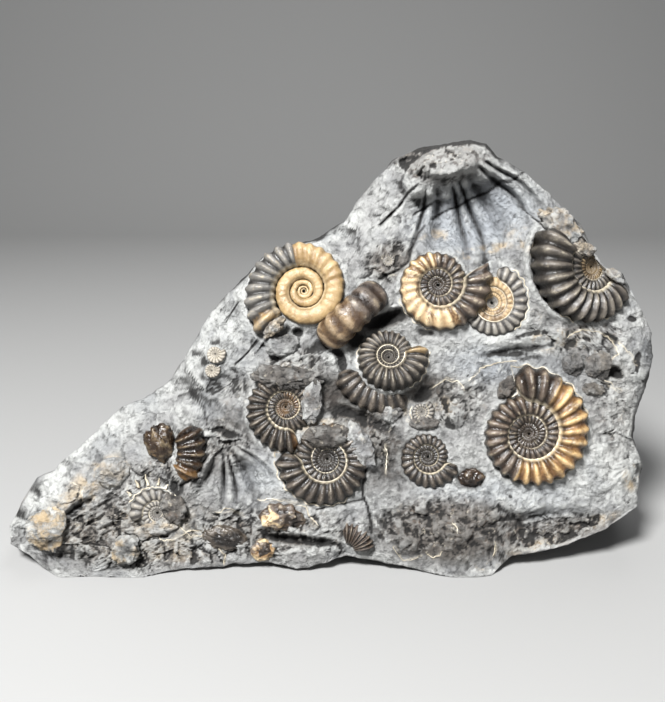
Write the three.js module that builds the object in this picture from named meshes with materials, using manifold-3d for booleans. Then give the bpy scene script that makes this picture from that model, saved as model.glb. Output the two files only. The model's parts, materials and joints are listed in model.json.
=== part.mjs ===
// Ammonite fossil cluster: a standing slab of grey mudstone, 150 mm wide, whose leaning
// front face is crowded with small ribbed ammonites. Millimetres, +Z up, front towards -Y.
import * as THREE from 'three';
import { mergeVertices } from 'three/addons/utils/BufferGeometryUtils.js';
import Module from 'manifold-3d';

const wasm = await Module();
wasm.setup();

// The face: places on it are [across, up] in millimetres on a plane that leans back.
// A place goes back from that plane along the line of sight of a viewer in front.
const faceLean = THREE.MathUtils.degToRad(16);
const viewDistance = 211;
const viewFoot = [0.5, 52.9];
const setBack = 26.4;
const setAside = 0.5;

// The slab's body behind the face
const backAtFoot = 50;
const backAtTop = 23;
const backRound = 15;
const frontColumns = 32;
const frontRows = 18;
const backStep = 2;

// What stands in the stone keeps this far from it
const bedGap = 0.35;

// Outline of the slab: [across, up, depth of the rim]
const upperEdge = [
  [-75, 12, 7], [-72.5, 16, 10], [-68.5, 23, 12], [-64.5, 25, 12], [-62, 28, 13], [-58.5, 30.5, 13],
  [-54, 35, 13], [-48.5, 40, 13], [-41.5, 43, 13], [-37.5, 46, 13], [-33.5, 52.5, 13], [-28, 62, 12],
  [-21, 69.5, 11], [-16, 75, 10], [-9.5, 77.5, 9], [-2.5, 79.5, 10], [3.5, 83.5, 11], [6.5, 88.5, 11],
  [14.5, 97.5, 10], [21, 100.5, 9], [33, 102.5, 9], [36.5, 101.5, 9], [39, 98.5, 9], [45.5, 95, 10],
  [49.5, 91.5, 10], [57.5, 83.5, 10], [61, 77, 9], [64.5, 72.5, 9], [68.5, 71, 8], [71, 66.5, 8],
];
const rightEdge = [
  [71, 66.5, 8], [74, 60, 8], [75.5, 57, 8], [75.5, 52, 8], [74, 45, 8], [71.5, 38, 8],
  [71, 33, 8], [73, 27, 7], [72, 21, 6], [72, 17, 5],
];
const lowerEdge = [
  [-75.5, 8, 5], [-70.5, 5, 3], [-67, 2, 2], [-64, 0, 1], [-54, 0, 1], [-46.5, -1, 0], [-40, 1, 1],
  [-33, 2, 2], [-21, 3, 3], [-16, 3.5, 3], [-8, 2, 2], [-1.5, 3, 2], [3.5, 5, 3], [9.5, 4, 3],
  [16.5, 2.5, 2], [30.5, -0.5, 0], [38, 0.5, 1], [42, 5, 3], [46.5, 5.5, 3], [55, 7.5, 4],
  [63.5, 11, 4], [67.5, 14, 5], [72, 17, 5],
];
// How wide the face rounds over into each edge
const upperRound = 10;
const rightRound = 7;
const lowerRound = 4;

// How deep the face lies, at chosen places: [across, up, depth]
const faceLevels = [
  [-66, 14, 5], [-55, 22, 5.5], [-45, 12, 2.5], [-40, 26, 3.5], [-45, 36, 7], [-30, 46, 6.5],
  [-22, 60, 6.5], [-10, 42, 2.5], [-20, 25, 3], [-1, 28, 1.5], [0, 12, 1.5], [-25, 9, 2.5],
  [24, 28, 3], [24, 12, 1.5], [46, 34, 3.5], [58, 18, 3.5], [71, 44, 5], [60, 47, 4.5],
  [61, 70, 5], [38, 57, 3], [14, 48, 3.5], [-6, 67, 4.5], [4, 52, 4], [14, 76, 4.5],
  [36, 84, 6], [12, 88, 6], [26, 97, 3], [52, 84, 6.5], [27, 68, 3.5],
];

// Low relief of the face: [across, up, half length, half width, turn in degrees, height, flat share]
const relief = [
  [-22.4, 45, 5.2, 4.8, 0, -1.8, 0.2],   // smooth dish
  [-33, 38, 5.5, 6, 0, 1.4, 0.3],        // boss beside the glossy whorl
  [33, 86, 19, 10.5, 12, -5, 0.45],      // great mould under the summit
  [28, 97.5, 11, 4.5, 6, 3.4, 0.55],     // rough lump that overhangs the mould
  [9, 36.5, 9, 2.6, -22, -2.6, 0.2],     // hollow below the centre pair
  [-7.5, 45.8, 7, 2.6, -8, -2.6, 0.2],   // hollow over the left-centre coil
  [14, 60.5, 9, 2.6, 20, -3, 0.3],       // hollow over the centre coil
  [43, 52.8, 11, 1.6, 8, -1.8, 0.2],     // groove above the great coil
  [43, 56, 11, 2, 8, 1.3, 0.2],          // ridge along that groove
  [50, 11.5, 17, 5.5, 6, -2.6, 0.5],     // broken ground below the shelf
  [-20.5, 23, 9.5, 5.6, -12, -2.4, 0.4], // ribbed fan mould
  [-60, 15.5, 8, 1.5, 33, -1.8, 0.2],    // furrows of the lower left
  [-52, 13, 8, 1.4, 30, 1.2, 0.2],
  [-7, 8.6, 11, 1.5, -5, -2.8, 0.3],     // long crevice near the foot
  [-7, 4.6, 9, 2.4, 0, 1.2, 0.3],
  [-7.6, 57.3, 1.8, 1.6, 0, -3, 0.3],    // round hole
  [18.6, 7.5, 3.4, 2.6, 15, 1.6, 0.3],   // grey knob near the foot
  [67, 47.8, 3, 1.8, -25, -2.6, 0.3],    // twin hollows at the right
  [14.4, 39.2, 2.6, 2.4, 0, 1.4, 0.3],   // tan lump
  [-50, 6, 5, 4, 0, 1.2, 0.4],           // swelling round the base nodule
  [-62, 4, 9, 2.5, 0, -1.4, 0.4],
  [55, 86, 4, 2.5, -40, 1.2, 0.3],
];

// Ribs left in the stone where great whorls lay: [foot of the fan, angles, reach, crest height]
const mouldRibs = { at: [24, 105], from: -92, to: -38, count: 6, near: 16, far: 28, width: 3.2, height: 1.1 };
const fanRibs = { at: [-25.5, 33], from: -118, to: -38, count: 5, near: 6.5, far: 13.5, width: 1.5, height: 0.8 };

// Coiled ammonites, seated in the face. radius is that of the mouth, at the angle mouth, and
// growth is how much the spiral widens in a turn; hand 1 winds anticlockwise, -1 clockwise.
const coils = {
  ammonite_great_gold: {
    at: [46.5, 33.5], depth: 3.2, radius: 16.2, mouth: 105, growth: 1.75, turns: 1.9, ribs: 20,
    rise: 3.0, color: 0x8a6235,
  },
  ammonite_yellow: {
    at: [-6.2, 67], depth: 3.4, radius: 15.3, mouth: 232, growth: 1.95, turns: 1.8, ribs: 20,
    rise: 3.0, turnUp: 4, turnRight: -6, color: 0xc9a45c,
  },
  ammonite_centre: {
    at: [13.7, 51.4], depth: 2.4, radius: 9.4, mouth: 20, growth: 1.6, turns: 1.7, ribs: 18,
    rise: 2.4, turnUp: 22, color: 0x4d4944,
  },
  ammonite_left_centre: {
    at: [-10.4, 39.8], depth: 2.6, radius: 11, mouth: 290, growth: 1.85, turns: 1.8, ribs: 18,
    rise: 2.2, color: 0x57514a,
  },
  ammonite_low_centre: {
    at: [-0.8, 27.6], depth: 2, radius: 12.2, mouth: 172, hand: -1, growth: 1.65, turns: 2, ribs: 18,
    rise: 2.3, color: 0x5d5850,
  },
  ammonite_small_dark: {
    at: [22.8, 28.1], depth: 3.2, radius: 8.2, mouth: 345, growth: 1.8, turns: 1.7, ribs: 14,
    rise: 1.7, color: 0x453c34,
  },
  ammonite_horned: {
    at: [25.2, 68.4], depth: 2.8, radius: 13, mouth: 24, growth: 1.9, turns: 1.7, ribs: 18,
    rise: 2.6, color: 0x7a6038,
  },
  ammonite_beside_horned: {
    at: [37.8, 64.2], depth: 3.4, radius: 9.3, mouth: 80, growth: 1.5, turns: 1.6, ribs: 14,
    rise: 1.6, color: 0x6e6558,
  },
  ammonite_right_edge: {
    at: [61, 72.6], depth: 4.6, radius: 16.2, mouth: 140, hand: -1, growth: 1.85, turns: 1.7, ribs: 20,
    rise: 3.2, turnRight: 20, color: 0x4f463c,
  },
  ammonite_lower_left: {
    at: [-40.6, 15], depth: 2.6, radius: 6.8, mouth: 200, growth: 1.8, turns: 1.6, ribs: 10,
    rise: 1.2, color: 0x7b766c,
  },
  coil_among_ribs: {
    at: [21.4, 38.6], depth: 3, radius: 3.3, mouth: 60, growth: 1.7, turns: 1.5, ribs: 7,
    rise: 0.9, color: 0x8a7a60,
  },
  coil_cream_upper: {
    at: [-27, 52.2], depth: 5.4, radius: 2.7, mouth: 30, growth: 1.7, turns: 1.4, ribs: 6,
    rise: 1.1, color: 0xc8b89a,
  },
  coil_cream_lower: {
    at: [-27.8, 48.4], depth: 5.4, radius: 2.2, mouth: 30, growth: 1.7, turns: 1.4, ribs: 6,
    rise: 0.9, color: 0xc8b89a,
  },
  coil_tiny: {
    at: [13.5, 74], depth: 4.2, radius: 1.8, mouth: 90, growth: 1.7, turns: 1.4, ribs: 6,
    rise: 0.8, color: 0x77736c,
  },
};
const coilSink = 3.2;
const mouthSwing = 0.05;

// Pieces of whorl: bent ribbed bars on an arc round a centre, from one angle to another.
// plunge turns the arc's plane from lying in the face (0) to standing out of it (90).
const whorls = {
  whorl_edge_on: {
    at: [5.2, 61.4], depth: 7.2, arc: 7.2, bar: 4, from: 14, to: 166, heading: 43, plunge: 90,
    ribs: 9, color: 0x8a6236,
  },
  whorl_under_centre: {
    at: [12, 49.5], depth: 4.6, arc: 9, bar: 3, from: 196, to: 292, heading: 0, plunge: 0,
    ribs: 8, color: 0x3f3a35,
  },
  whorl_glossy: {
    at: [-42, 29.5], depth: 3.4, arc: 9.6, bar: 3.3, from: -42, to: 34, heading: 0, plunge: 0,
    ribs: 7, color: 0x3a2c20,
  },
  whorl_quarter: {
    at: [3.6, 6], depth: 2.2, arc: 4.4, bar: 2.4, from: 0, to: 98, heading: 0, plunge: 0,
    ribs: 5, color: 0x4a3423,
  },
};

// Rounded lumps seated in the face: [across, up, depth, half length, half height, half thickness, turn]
const lumps = {
  nodule_cream_tip: { at: [-66.4, 11], depth: 3.6, half: [4.8, 5.1, 2.6], turn: 0, color: 0xd8c8a6 },
  nodule_cream_base: { at: [-47.9, 6.5], depth: 1.2, half: [3.7, 3.4, 2.4], turn: 0, color: 0xcfc3a8 },
  nodule_purple: { at: [-50.9, 24.6], depth: 4.2, half: [4, 3.3, 2.4], turn: 10, color: 0xa99c94 },
  lump_brown: { at: [-39.9, 32], depth: 4, half: [3.2, 4.2, 2.6], turn: 20, color: 0x57402e },
  dome_dark: { at: [-11.8, 54.4], depth: 3.4, half: [4.2, 2.8, 2.4], turn: -8, color: 0x5e5c5a },
  fragment_arched: { at: [-11, 14], depth: 1.8, half: [5, 3, 1.8], turn: -8, color: 0x8b6a48 },
  fragment_dark: { at: [-24.7, 9.2], depth: 2.4, half: [5, 2.7, 2], turn: -12, color: 0x4c4036 },
  fragment_gold: { at: [-15.8, 6.4], depth: 2.4, half: [2.8, 2.4, 1.8], turn: 0, color: 0xa9844a },
  pebble_dark: { at: [32.9, 22.9], depth: 4.2, half: [3.2, 2.8, 1.8], turn: 0, color: 0x3c342d },
  lump_right_small: { at: [56.8, 49.7], depth: 4.2, half: [2.5, 2.8, 2.2], turn: 0, color: 0x5b544c },
  lump_right_large: { at: [62.8, 49.4], depth: 4.4, half: [3.2, 3.4, 2.2], turn: 0, color: 0x585149 },
  lump_right_low: { at: [61.7, 44], depth: 4.2, half: [2.8, 1.7, 1.8], turn: -15, color: 0x49423a },
};

// A corner of the right-edge ammonite broke away with the stone: outline on the face
const brokenCorner = [[56, 84.5], [61.6, 77], [64.6, 72.8], [67.6, 71.4], [84, 74], [84, 96], [56, 96]];

function smooth(from, to, value) {
  return THREE.MathUtils.smoothstep(value, from, to);
}

function place(across, up, depth) {
  const spread = 1 + depth / viewDistance;
  const u = viewFoot[0] + (across - viewFoot[0]) * spread;
  const v = viewFoot[1] + (up - viewFoot[1]) * spread;
  return new THREE.Vector3(
    u - setAside,
    v * Math.sin(faceLean) + depth * Math.cos(faceLean) - setBack,
    v * Math.cos(faceLean) - depth * Math.sin(faceLean),
  );
}

function heightOn(edge, across) {
  const last = edge.length - 1;
  let i = 0;
  while (i < last - 1 && edge[i + 1][0] < across) i += 1;
  const share = THREE.MathUtils.clamp((across - edge[i][0]) / (edge[i + 1][0] - edge[i][0]), 0, 1);
  return THREE.MathUtils.lerp(edge[i][1], edge[i + 1][1], share);
}

function acrossOn(edge, share) {
  const up = THREE.MathUtils.lerp(edge.at(-1)[1], edge[0][1], share);
  let i = 0;
  while (i < edge.length - 2 && edge[i + 1][1] > up) i += 1;
  const part = THREE.MathUtils.clamp((edge[i][1] - up) / (edge[i][1] - edge[i + 1][1]), 0, 1);
  return THREE.MathUtils.lerp(edge[i][0], edge[i + 1][0], part);
}

const rims = [
  ...upperEdge.map((point) => [...point, upperRound]),
  ...rightEdge.map((point) => [...point, rightRound]),
  ...lowerEdge.map((point) => [...point, lowerRound]),
];

// Distance from a place to a chain of rim points
function distanceTo(chain, across, up) {
  let nearest = Infinity;
  for (let i = 1; i < chain.length; i += 1) {
    const [ax, ay] = chain[i - 1];
    const [bx, by] = chain[i];
    const length = (bx - ax) ** 2 + (by - ay) ** 2;
    const share = THREE.MathUtils.clamp(((across - ax) * (bx - ax) + (up - ay) * (by - ay)) / length, 0, 1);
    nearest = Math.min(nearest, Math.hypot(across - ax - share * (bx - ax), up - ay - share * (by - ay)));
  }
  return nearest;
}

// Mean of column `from` onwards of a list of places, weighted towards the nearest ones
function blend(list, across, up, from, power) {
  let total = 0;
  const sums = list[0].slice(from).map(() => 0);
  for (const entry of list) {
    const weight = 1 / (Math.hypot(across - entry[0], up - entry[1]) ** power + 1e-6);
    total += weight;
    sums.forEach((_, k) => {
      sums[k] += weight * entry[from + k];
    });
  }
  return sums.map((sum) => sum / total);
}

function rimAt(across, up) {
  const near = Math.min(...[upperEdge, rightEdge, lowerEdge].map((edge) => distanceTo(edge, across, up)));
  const [depth, round] = blend(rims, across, up, 2, 4);
  return { near, depth, round };
}

function frontDepth(across, up) {
  const rim = rimAt(across, up);
  const [level] = blend(faceLevels, across, up, 2, 3);
  let depth = level;
  for (const [u, v, long, wide, turn, height, flat] of relief) {
    const angle = THREE.MathUtils.degToRad(turn);
    const du = across - u;
    const dv = up - v;
    const along = (du * Math.cos(angle) + dv * Math.sin(angle)) / long;
    const aside = (dv * Math.cos(angle) - du * Math.sin(angle)) / wide;
    depth -= height * (1 - smooth(flat, 1, Math.hypot(along, aside)));
  }
  const inward = Math.min(1, rim.near / rim.round);
  return THREE.MathUtils.lerp(rim.depth, depth, 1 - (1 - inward) ** 1.7);
}

function backDepth(across, up) {
  const rim = rimAt(across, up);
  const swell = 2 * Math.sin(across / 17) * Math.cos(up / 14) + 1.4 * Math.sin(across / 7 + up / 9);
  const wall = THREE.MathUtils.lerp(backAtFoot, backAtTop, up / 100) + swell;
  const inward = Math.min(1, rim.near / backRound);
  return THREE.MathUtils.lerp(rim.depth, wall, 1 - (1 - inward) ** 2.4);
}

// A closed solid from points and faces, ready to be joined or cut
function solidOf(points, faces) {
  return new wasm.Manifold(new wasm.Mesh({
    numProp: 3,
    vertProperties: new Float32Array(points.flatMap((point) => [point.x, point.y, point.z])),
    triVerts: new Uint32Array(faces.flat()),
  }));
}

function solidOfGeometry(geometry) {
  geometry.deleteAttribute('normal');
  geometry.deleteAttribute('uv');
  const merged = mergeVertices(geometry, 1e-4);
  return new wasm.Manifold(new wasm.Mesh({
    numProp: 3,
    vertProperties: merged.attributes.position.array,
    triVerts: new Uint32Array(merged.index.array),
  }));
}

function geometryOf(solid) {
  const mesh = solid.getMesh();
  const geometry = new THREE.BufferGeometry();
  geometry.setAttribute('position', new THREE.Float32BufferAttribute(mesh.vertProperties, mesh.numProp));
  geometry.setIndex(new THREE.Uint32BufferAttribute(mesh.triVerts, 1));
  return geometry;
}

// The slab is two sheets over one grid of places, a fine front and a coarse back, joined at the rim
function gridPlace(column, row) {
  const a = column / frontColumns;
  const b = row / frontRows;
  const left = upperEdge[0][0];
  const right = rightEdge[0][0];
  const across = THREE.MathUtils.lerp(left, right, a);
  const bulge = acrossOn(rightEdge, b) - right;
  const up = THREE.MathUtils.lerp(heightOn(lowerEdge, across), heightOn(upperEdge, across), b);
  return [across + bulge * a ** 6, up];
}

function makeSlab() {
  const points = [];
  const front = [];
  for (let column = 0; column <= frontColumns; column += 1) {
    front.push([]);
    for (let row = 0; row <= frontRows; row += 1) {
      const [across, up] = gridPlace(column, row);
      front[column].push(points.length);
      points.push(place(across, up, frontDepth(across, up)));
    }
  }
  const faces = [];
  for (let column = 0; column < frontColumns; column += 1) {
    for (let row = 0; row < frontRows; row += 1) {
      const [a, b] = [front[column][row], front[column + 1][row]];
      const [c, d] = [front[column + 1][row + 1], front[column][row + 1]];
      if ((column + row) % 2 === 0) faces.push([a, b, c], [a, c, d]);
      else faces.push([a, b, d], [b, c, d]);
    }
  }
  const back = new Map();
  const backPoint = (column, row) => {
    const onRim = column === 0 || row === 0 || column === frontColumns || row === frontRows;
    if (onRim) return front[column][row];
    const key = `${column},${row}`;
    if (!back.has(key)) {
      const [across, up] = gridPlace(column, row);
      back.set(key, points.length);
      points.push(place(across, up, backDepth(across, up)));
    }
    return back.get(key);
  };
  for (let column = 0; column < frontColumns; column += backStep) {
    for (let row = 0; row < frontRows; row += backStep) {
      faces.push(...backCell(column, row, backPoint));
    }
  }
  return solidOf(points, faces);
}

// One coarse cell of the back: on the rim it takes in every point of the fine front
function backCell(column, row, backPoint) {
  const step = backStep;
  const atRight = column + step === frontColumns;
  const atTop = row + step === frontRows;
  const hub = [atRight ? column : column + step, atTop ? row : row + step];
  const loop = [];
  const side = (fromColumn, fromRow, alongColumn, alongRow, onRim) => {
    for (let k = 0; k < step; k += onRim ? 1 : step) {
      loop.push([fromColumn + k * alongColumn, fromRow + k * alongRow]);
    }
  };
  side(column, row, 0, 1, column === 0);
  side(column, row + step, 1, 0, atTop);
  side(column + step, row + step, 0, -1, atRight);
  side(column + step, row, -1, 0, row === 0);
  const start = loop.findIndex(([c, r]) => c === hub[0] && r === hub[1]);
  const turned = [...loop.slice(start), ...loop.slice(0, start)].map(([c, r]) => backPoint(c, r));
  return turned.slice(2).map((_, k) => [turned[0], turned[k + 1], turned[k + 2]]);
}

// Rights and ups of a seat in the face: a frame whose z axis points out of the stone
function seatFrame({ at, depth, turnUp = 0, turnRight = 0 }) {
  const out = new THREE.Vector3(0, -Math.cos(faceLean), Math.sin(faceLean));
  const up = new THREE.Vector3(0, Math.sin(faceLean), Math.cos(faceLean));
  const frame = new THREE.Matrix4().makeBasis(new THREE.Vector3(1, 0, 0), up, out);
  const tilt = new THREE.Euler(
    THREE.MathUtils.degToRad(-turnUp), THREE.MathUtils.degToRad(turnRight), 0, 'XYZ',
  );
  frame.multiply(new THREE.Matrix4().makeRotationFromEuler(tilt));
  return frame.setPosition(place(at[0], at[1], depth));
}

// A coiled shell as a closed spiral strip: rim, crest and seam at each step, on a flat bed
function makeCoil(coil) {
  const hand = coil.hand ?? 1;
  const perTurn = coil.ribs * 2;
  const last = Math.round(perTurn * coil.turns);
  const points = [];
  const polar = (radius, k, height) => {
    const angle = THREE.MathUtils.degToRad(coil.mouth) - (hand * 2 * Math.PI * k) / perTurn;
    points.push(new THREE.Vector3(radius * Math.cos(angle), radius * Math.sin(angle), height));
    return points.length - 1;
  };
  const radiusAt = (k) => coil.radius * coil.growth ** (-k / perTurn);
  const rib = (k) => (k % 2 === 0 ? 1 : 0);
  const rim = [];
  const crest = [];
  for (let k = 0; k < last; k += 1) {
    const size = radiusAt(k) / coil.radius;
    rim.push(polar(radiusAt(k) * (0.97 + 0.03 * rib(k)), k, 0.25 * coil.rise * size));
    const swing = k === 0 ? mouthSwing * perTurn / (2 * Math.PI) : 0;
    crest.push(polar(radiusAt(k) * 0.8, k - swing, coil.rise * size * (0.86 + 0.14 * rib(k))));
  }
  points.push(new THREE.Vector3(0, 0, 0.3 * coil.rise / coil.growth));
  rim.push(points.length - 1);
  crest.push(points.length - 1);
  const seam = (k) => rim[Math.min(k + perTurn, last)];
  const faces = [];
  const quad = (a, b, c, d) => {
    if (a !== b && b !== c && a !== c) faces.push([a, b, c]);
    if (a !== c && c !== d && a !== d) faces.push([a, c, d]);
  };
  for (let k = 0; k < last; k += 1) {
    quad(rim[k], crest[k], crest[k + 1], rim[k + 1]);
    quad(crest[k], seam(k), seam(k + 1), crest[k + 1]);
  }
  const loop = [...rim.slice(0, perTurn + 1), crest[0]];
  const bed = loop.map((index) => {
    const point = points[index];
    points.push(new THREE.Vector3(point.x, point.y, -coilSink));
    return points.length - 1;
  });
  loop.forEach((index, i) => {
    const next = (i + 1) % loop.length;
    quad(index, loop[next], bed[next], bed[i]);
  });
  const flatOutline = bed.map((index) => new THREE.Vector2(points[index].x, points[index].y));
  for (const [a, b, c] of THREE.ShapeUtils.triangulateShape(flatOutline, [])) {
    const [p, q, r] = [flatOutline[a], flatOutline[b], flatOutline[c]];
    const turnsLeft = (q.x - p.x) * (r.y - p.y) - (q.y - p.y) * (r.x - p.x) > 0;
    const facesDown = turnsLeft === (hand < 0);
    faces.push(facesDown ? [bed[a], bed[b], bed[c]] : [bed[a], bed[c], bed[b]]);
  }
  const turned = hand > 0 ? faces : faces.map(([a, b, c]) => [a, c, b]);
  const frame = seatFrame(coil);
  return solidOf(points.map((point) => point.applyMatrix4(frame)), turned);
}

// The bed that a coil lies in: its smooth outline, a little larger, open to the front
function coilBed(coil) {
  const hand = coil.hand ?? 1;
  const outline = new THREE.Shape();
  const steps = Math.max(6, Math.round(coil.ribs * 0.6));
  for (let k = 0; k <= steps; k += 1) {
    const angle = THREE.MathUtils.degToRad(coil.mouth) - (hand * 2 * Math.PI * k) / steps;
    const radius = (coil.radius * coil.growth ** (-k / steps) + bedGap) / Math.cos(Math.PI / steps);
    const swing = k === 0 ? 3 * hand * mouthSwing : 0;
    const close = k === steps ? hand * 2 * bedGap / coil.radius : 0;
    const turned = angle + swing + close;
    const point = [radius * Math.cos(turned), radius * Math.sin(turned)];
    if (k === 0) outline.moveTo(...point);
    else outline.lineTo(...point);
  }
  const bed = new THREE.ExtrudeGeometry(outline, { depth: 30, bevelEnabled: false });
  bed.translate(0, 0, -coilSink - bedGap);
  return solidOfGeometry(bed.applyMatrix4(seatFrame(coil)));
}

// A bent ribbed bar. grow makes the smooth, slightly larger form that its bed has
function makeWhorl(whorl, grow = 0) {
  const sides = 7;
  const columns = grow > 0 ? whorl.ribs - 1 : whorl.ribs * 2;
  const frame = seatFrame(whorl);
  frame.multiply(new THREE.Matrix4().makeRotationZ(THREE.MathUtils.degToRad(whorl.heading)));
  frame.multiply(new THREE.Matrix4().makeRotationX(THREE.MathUtils.degToRad(whorl.plunge)));
  const points = [];
  const stretch = grow / whorl.arc;
  for (let k = 0; k <= columns; k += 1) {
    const share = k / columns;
    const from = THREE.MathUtils.degToRad(whorl.from) - stretch;
    const to = THREE.MathUtils.degToRad(whorl.to) + stretch;
    const angle = THREE.MathUtils.lerp(from, to, share);
    const taper = 0.78 + 0.22 * Math.sin(Math.PI * share);
    const rib = grow > 0 || k % 2 === 1 ? 1 : 0.88;
    const radius = (whorl.bar * taper * rib + grow) / (grow > 0 ? Math.cos(Math.PI / sides) : 1);
    for (let side = 0; side < sides; side += 1) {
      const around = (2 * Math.PI * side) / sides;
      const reach = whorl.arc + radius * Math.cos(around);
      points.push(new THREE.Vector3(
        reach * Math.cos(angle), reach * Math.sin(angle), radius * Math.sin(around),
      ));
    }
  }
  const faces = [];
  for (let k = 0; k < columns; k += 1) {
    for (let side = 0; side < sides; side += 1) {
      const next = (side + 1) % sides;
      const [a, b] = [k * sides + side, k * sides + next];
      const [c, d] = [(k + 1) * sides + next, (k + 1) * sides + side];
      faces.push([a, c, b], [a, d, c]);
    }
  }
  for (let side = 1; side < sides - 1; side += 1) {
    const end = columns * sides;
    faces.push([0, side, side + 1], [end, end + side + 1, end + side]);
  }
  return solidOf(points.map((point) => point.applyMatrix4(frame)), faces);
}

// A rounded stone with small irregular dents
function makeLump(lump, grow = 0) {
  const ball = new THREE.IcosahedronGeometry(1, 1);
  const spots = ball.attributes.position;
  const [x, y, z] = lump.half.map((half) => half + grow);
  for (let i = 0; i < spots.count; i += 1) {
    const point = new THREE.Vector3().fromBufferAttribute(spots, i);
    const dent = 0.04 * Math.sin(5 * point.x + 3 * point.y) + 0.03 * Math.cos(6 * point.y - 4 * point.z);
    point.multiplyScalar(grow > 0 ? 1 + Math.abs(dent) : 1 + dent);
    spots.setXYZ(i, point.x * x, point.y * y, point.z * z);
  }
  ball.rotateZ(THREE.MathUtils.degToRad(lump.turn));
  return solidOfGeometry(ball.applyMatrix4(seatFrame(lump)));
}

// One tapering ridge that follows the face from the foot of its fan outwards
function makeRidge(fan, angle) {
  const stations = 3;
  const points = [];
  for (let k = 0; k <= stations; k += 1) {
    const share = k / stations;
    const reach = THREE.MathUtils.lerp(fan.near, fan.far, share);
    const across = fan.at[0] + reach * Math.cos(angle);
    const up = fan.at[1] + reach * Math.sin(angle);
    const aside = 0.5 * fan.width * (0.5 + 0.5 * share);
    const crest = fan.height * (0.35 + 0.65 * Math.sin(Math.PI * Math.min(1, 0.2 + share * 0.8)));
    const depth = frontDepth(across, up);
    const [du, dv] = [-Math.sin(angle) * aside, Math.cos(angle) * aside];
    points.push(
      place(across + du, up + dv, depth + 1.5),
      place(across - du, up - dv, depth + 1.5),
      place(across, up, depth - crest),
    );
  }
  const faces = [[0, 1, 2]];
  for (let k = 0; k < stations; k += 1) {
    for (let side = 0; side < 3; side += 1) {
      const next = (side + 1) % 3;
      const [a, b] = [3 * k + side, 3 * k + next];
      const [c, d] = [3 * k + 3 + next, 3 * k + 3 + side];
      faces.push([a, c, b], [a, d, c]);
    }
  }
  const end = 3 * stations;
  faces.push([end, end + 2, end + 1]);
  return solidOf(points, faces);
}

function fanRidges(fan) {
  return Array.from({ length: fan.count }, (_, i) => {
    const turn = THREE.MathUtils.lerp(fan.from, fan.to, i / (fan.count - 1));
    return makeRidge(fan, THREE.MathUtils.degToRad(turn));
  });
}

// Everything below the standing level, which is cut off flat
function groundBlock() {
  const ground = new THREE.BoxGeometry(300, 300, 60);
  ground.translate(0, 0, -30);
  return solidOfGeometry(ground);
}

function cornerBlock() {
  const outline = new THREE.Shape(brokenCorner.map(([across, up]) => new THREE.Vector2(across, up)));
  const block = new THREE.ExtrudeGeometry(outline, { depth: 60, bevelEnabled: false });
  block.translate(0, 0, -40);
  return solidOfGeometry(block.applyMatrix4(seatFrame({ at: [0, 0], depth: 0 })));
}

function makeMesh(name, solid, color, roughness) {
  const material = new THREE.MeshStandardMaterial({ color, roughness, metalness: 0 });
  const mesh = new THREE.Mesh(geometryOf(solid), material);
  mesh.name = name;
  return mesh;
}

const slab = new THREE.Group();
let matrix = makeSlab();
for (const ridge of [...fanRidges(mouldRibs), ...fanRidges(fanRibs)]) matrix = matrix.add(ridge);
matrix = matrix.subtract(groundBlock());

// Fossils that come first in the lists lie on top of those that come after them
const beds = [];
function seat(name, piece, bed, color, roughness) {
  let solid = piece.subtract(groundBlock());
  for (const earlier of beds) solid = solid.subtract(earlier);
  beds.push(bed);
  matrix = matrix.subtract(bed);
  slab.add(makeMesh(name, solid, color, roughness));
}
for (const [name, whorl] of Object.entries(whorls)) {
  seat(name, makeWhorl(whorl), makeWhorl(whorl, bedGap), whorl.color, 0.4);
}
for (const [name, coil] of Object.entries(coils)) {
  const whole = makeCoil(coil);
  const piece = name === 'ammonite_right_edge' ? whole.subtract(cornerBlock()) : whole;
  seat(name, piece, coilBed(coil), coil.color, 0.45);
}
for (const [name, lump] of Object.entries(lumps)) {
  seat(name, makeLump(lump), makeLump(lump, bedGap), lump.color, 0.7);
}
slab.add(makeMesh('matrix', matrix, 0x8f9192, 0.9));

export default slab;
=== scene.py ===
# Ammonite fossil cluster: a leaning slab of grey mudstone crowded with small ribbed ammonites
import json
import math

import bmesh
import bpy
import numpy as np
from mathutils import Matrix, Vector
from mathutils.bvhtree import BVHTree


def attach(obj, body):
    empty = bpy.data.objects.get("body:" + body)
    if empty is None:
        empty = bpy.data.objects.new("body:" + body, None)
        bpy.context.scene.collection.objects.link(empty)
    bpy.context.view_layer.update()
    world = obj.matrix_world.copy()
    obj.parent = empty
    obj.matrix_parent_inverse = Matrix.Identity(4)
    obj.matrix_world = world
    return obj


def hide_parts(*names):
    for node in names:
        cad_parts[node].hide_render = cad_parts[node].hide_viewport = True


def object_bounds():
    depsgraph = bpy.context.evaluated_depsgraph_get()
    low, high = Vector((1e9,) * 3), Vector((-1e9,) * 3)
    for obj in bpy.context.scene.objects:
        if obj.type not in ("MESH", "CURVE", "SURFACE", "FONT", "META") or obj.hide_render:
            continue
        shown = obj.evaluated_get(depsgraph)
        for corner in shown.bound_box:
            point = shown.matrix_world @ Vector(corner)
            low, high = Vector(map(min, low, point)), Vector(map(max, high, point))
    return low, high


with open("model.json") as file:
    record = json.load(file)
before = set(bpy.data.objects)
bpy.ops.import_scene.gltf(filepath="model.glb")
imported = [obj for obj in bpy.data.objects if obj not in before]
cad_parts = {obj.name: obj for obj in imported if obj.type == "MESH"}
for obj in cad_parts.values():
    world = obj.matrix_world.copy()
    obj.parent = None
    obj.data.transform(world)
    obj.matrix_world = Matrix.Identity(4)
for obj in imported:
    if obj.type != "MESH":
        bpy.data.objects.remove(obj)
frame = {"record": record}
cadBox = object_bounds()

millimetre = 0.001
fullTurn = 2 * math.pi
# how far the stone may pass the frame's box
boxMargin = (0.0008, 0.0004, 0.0005)
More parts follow.
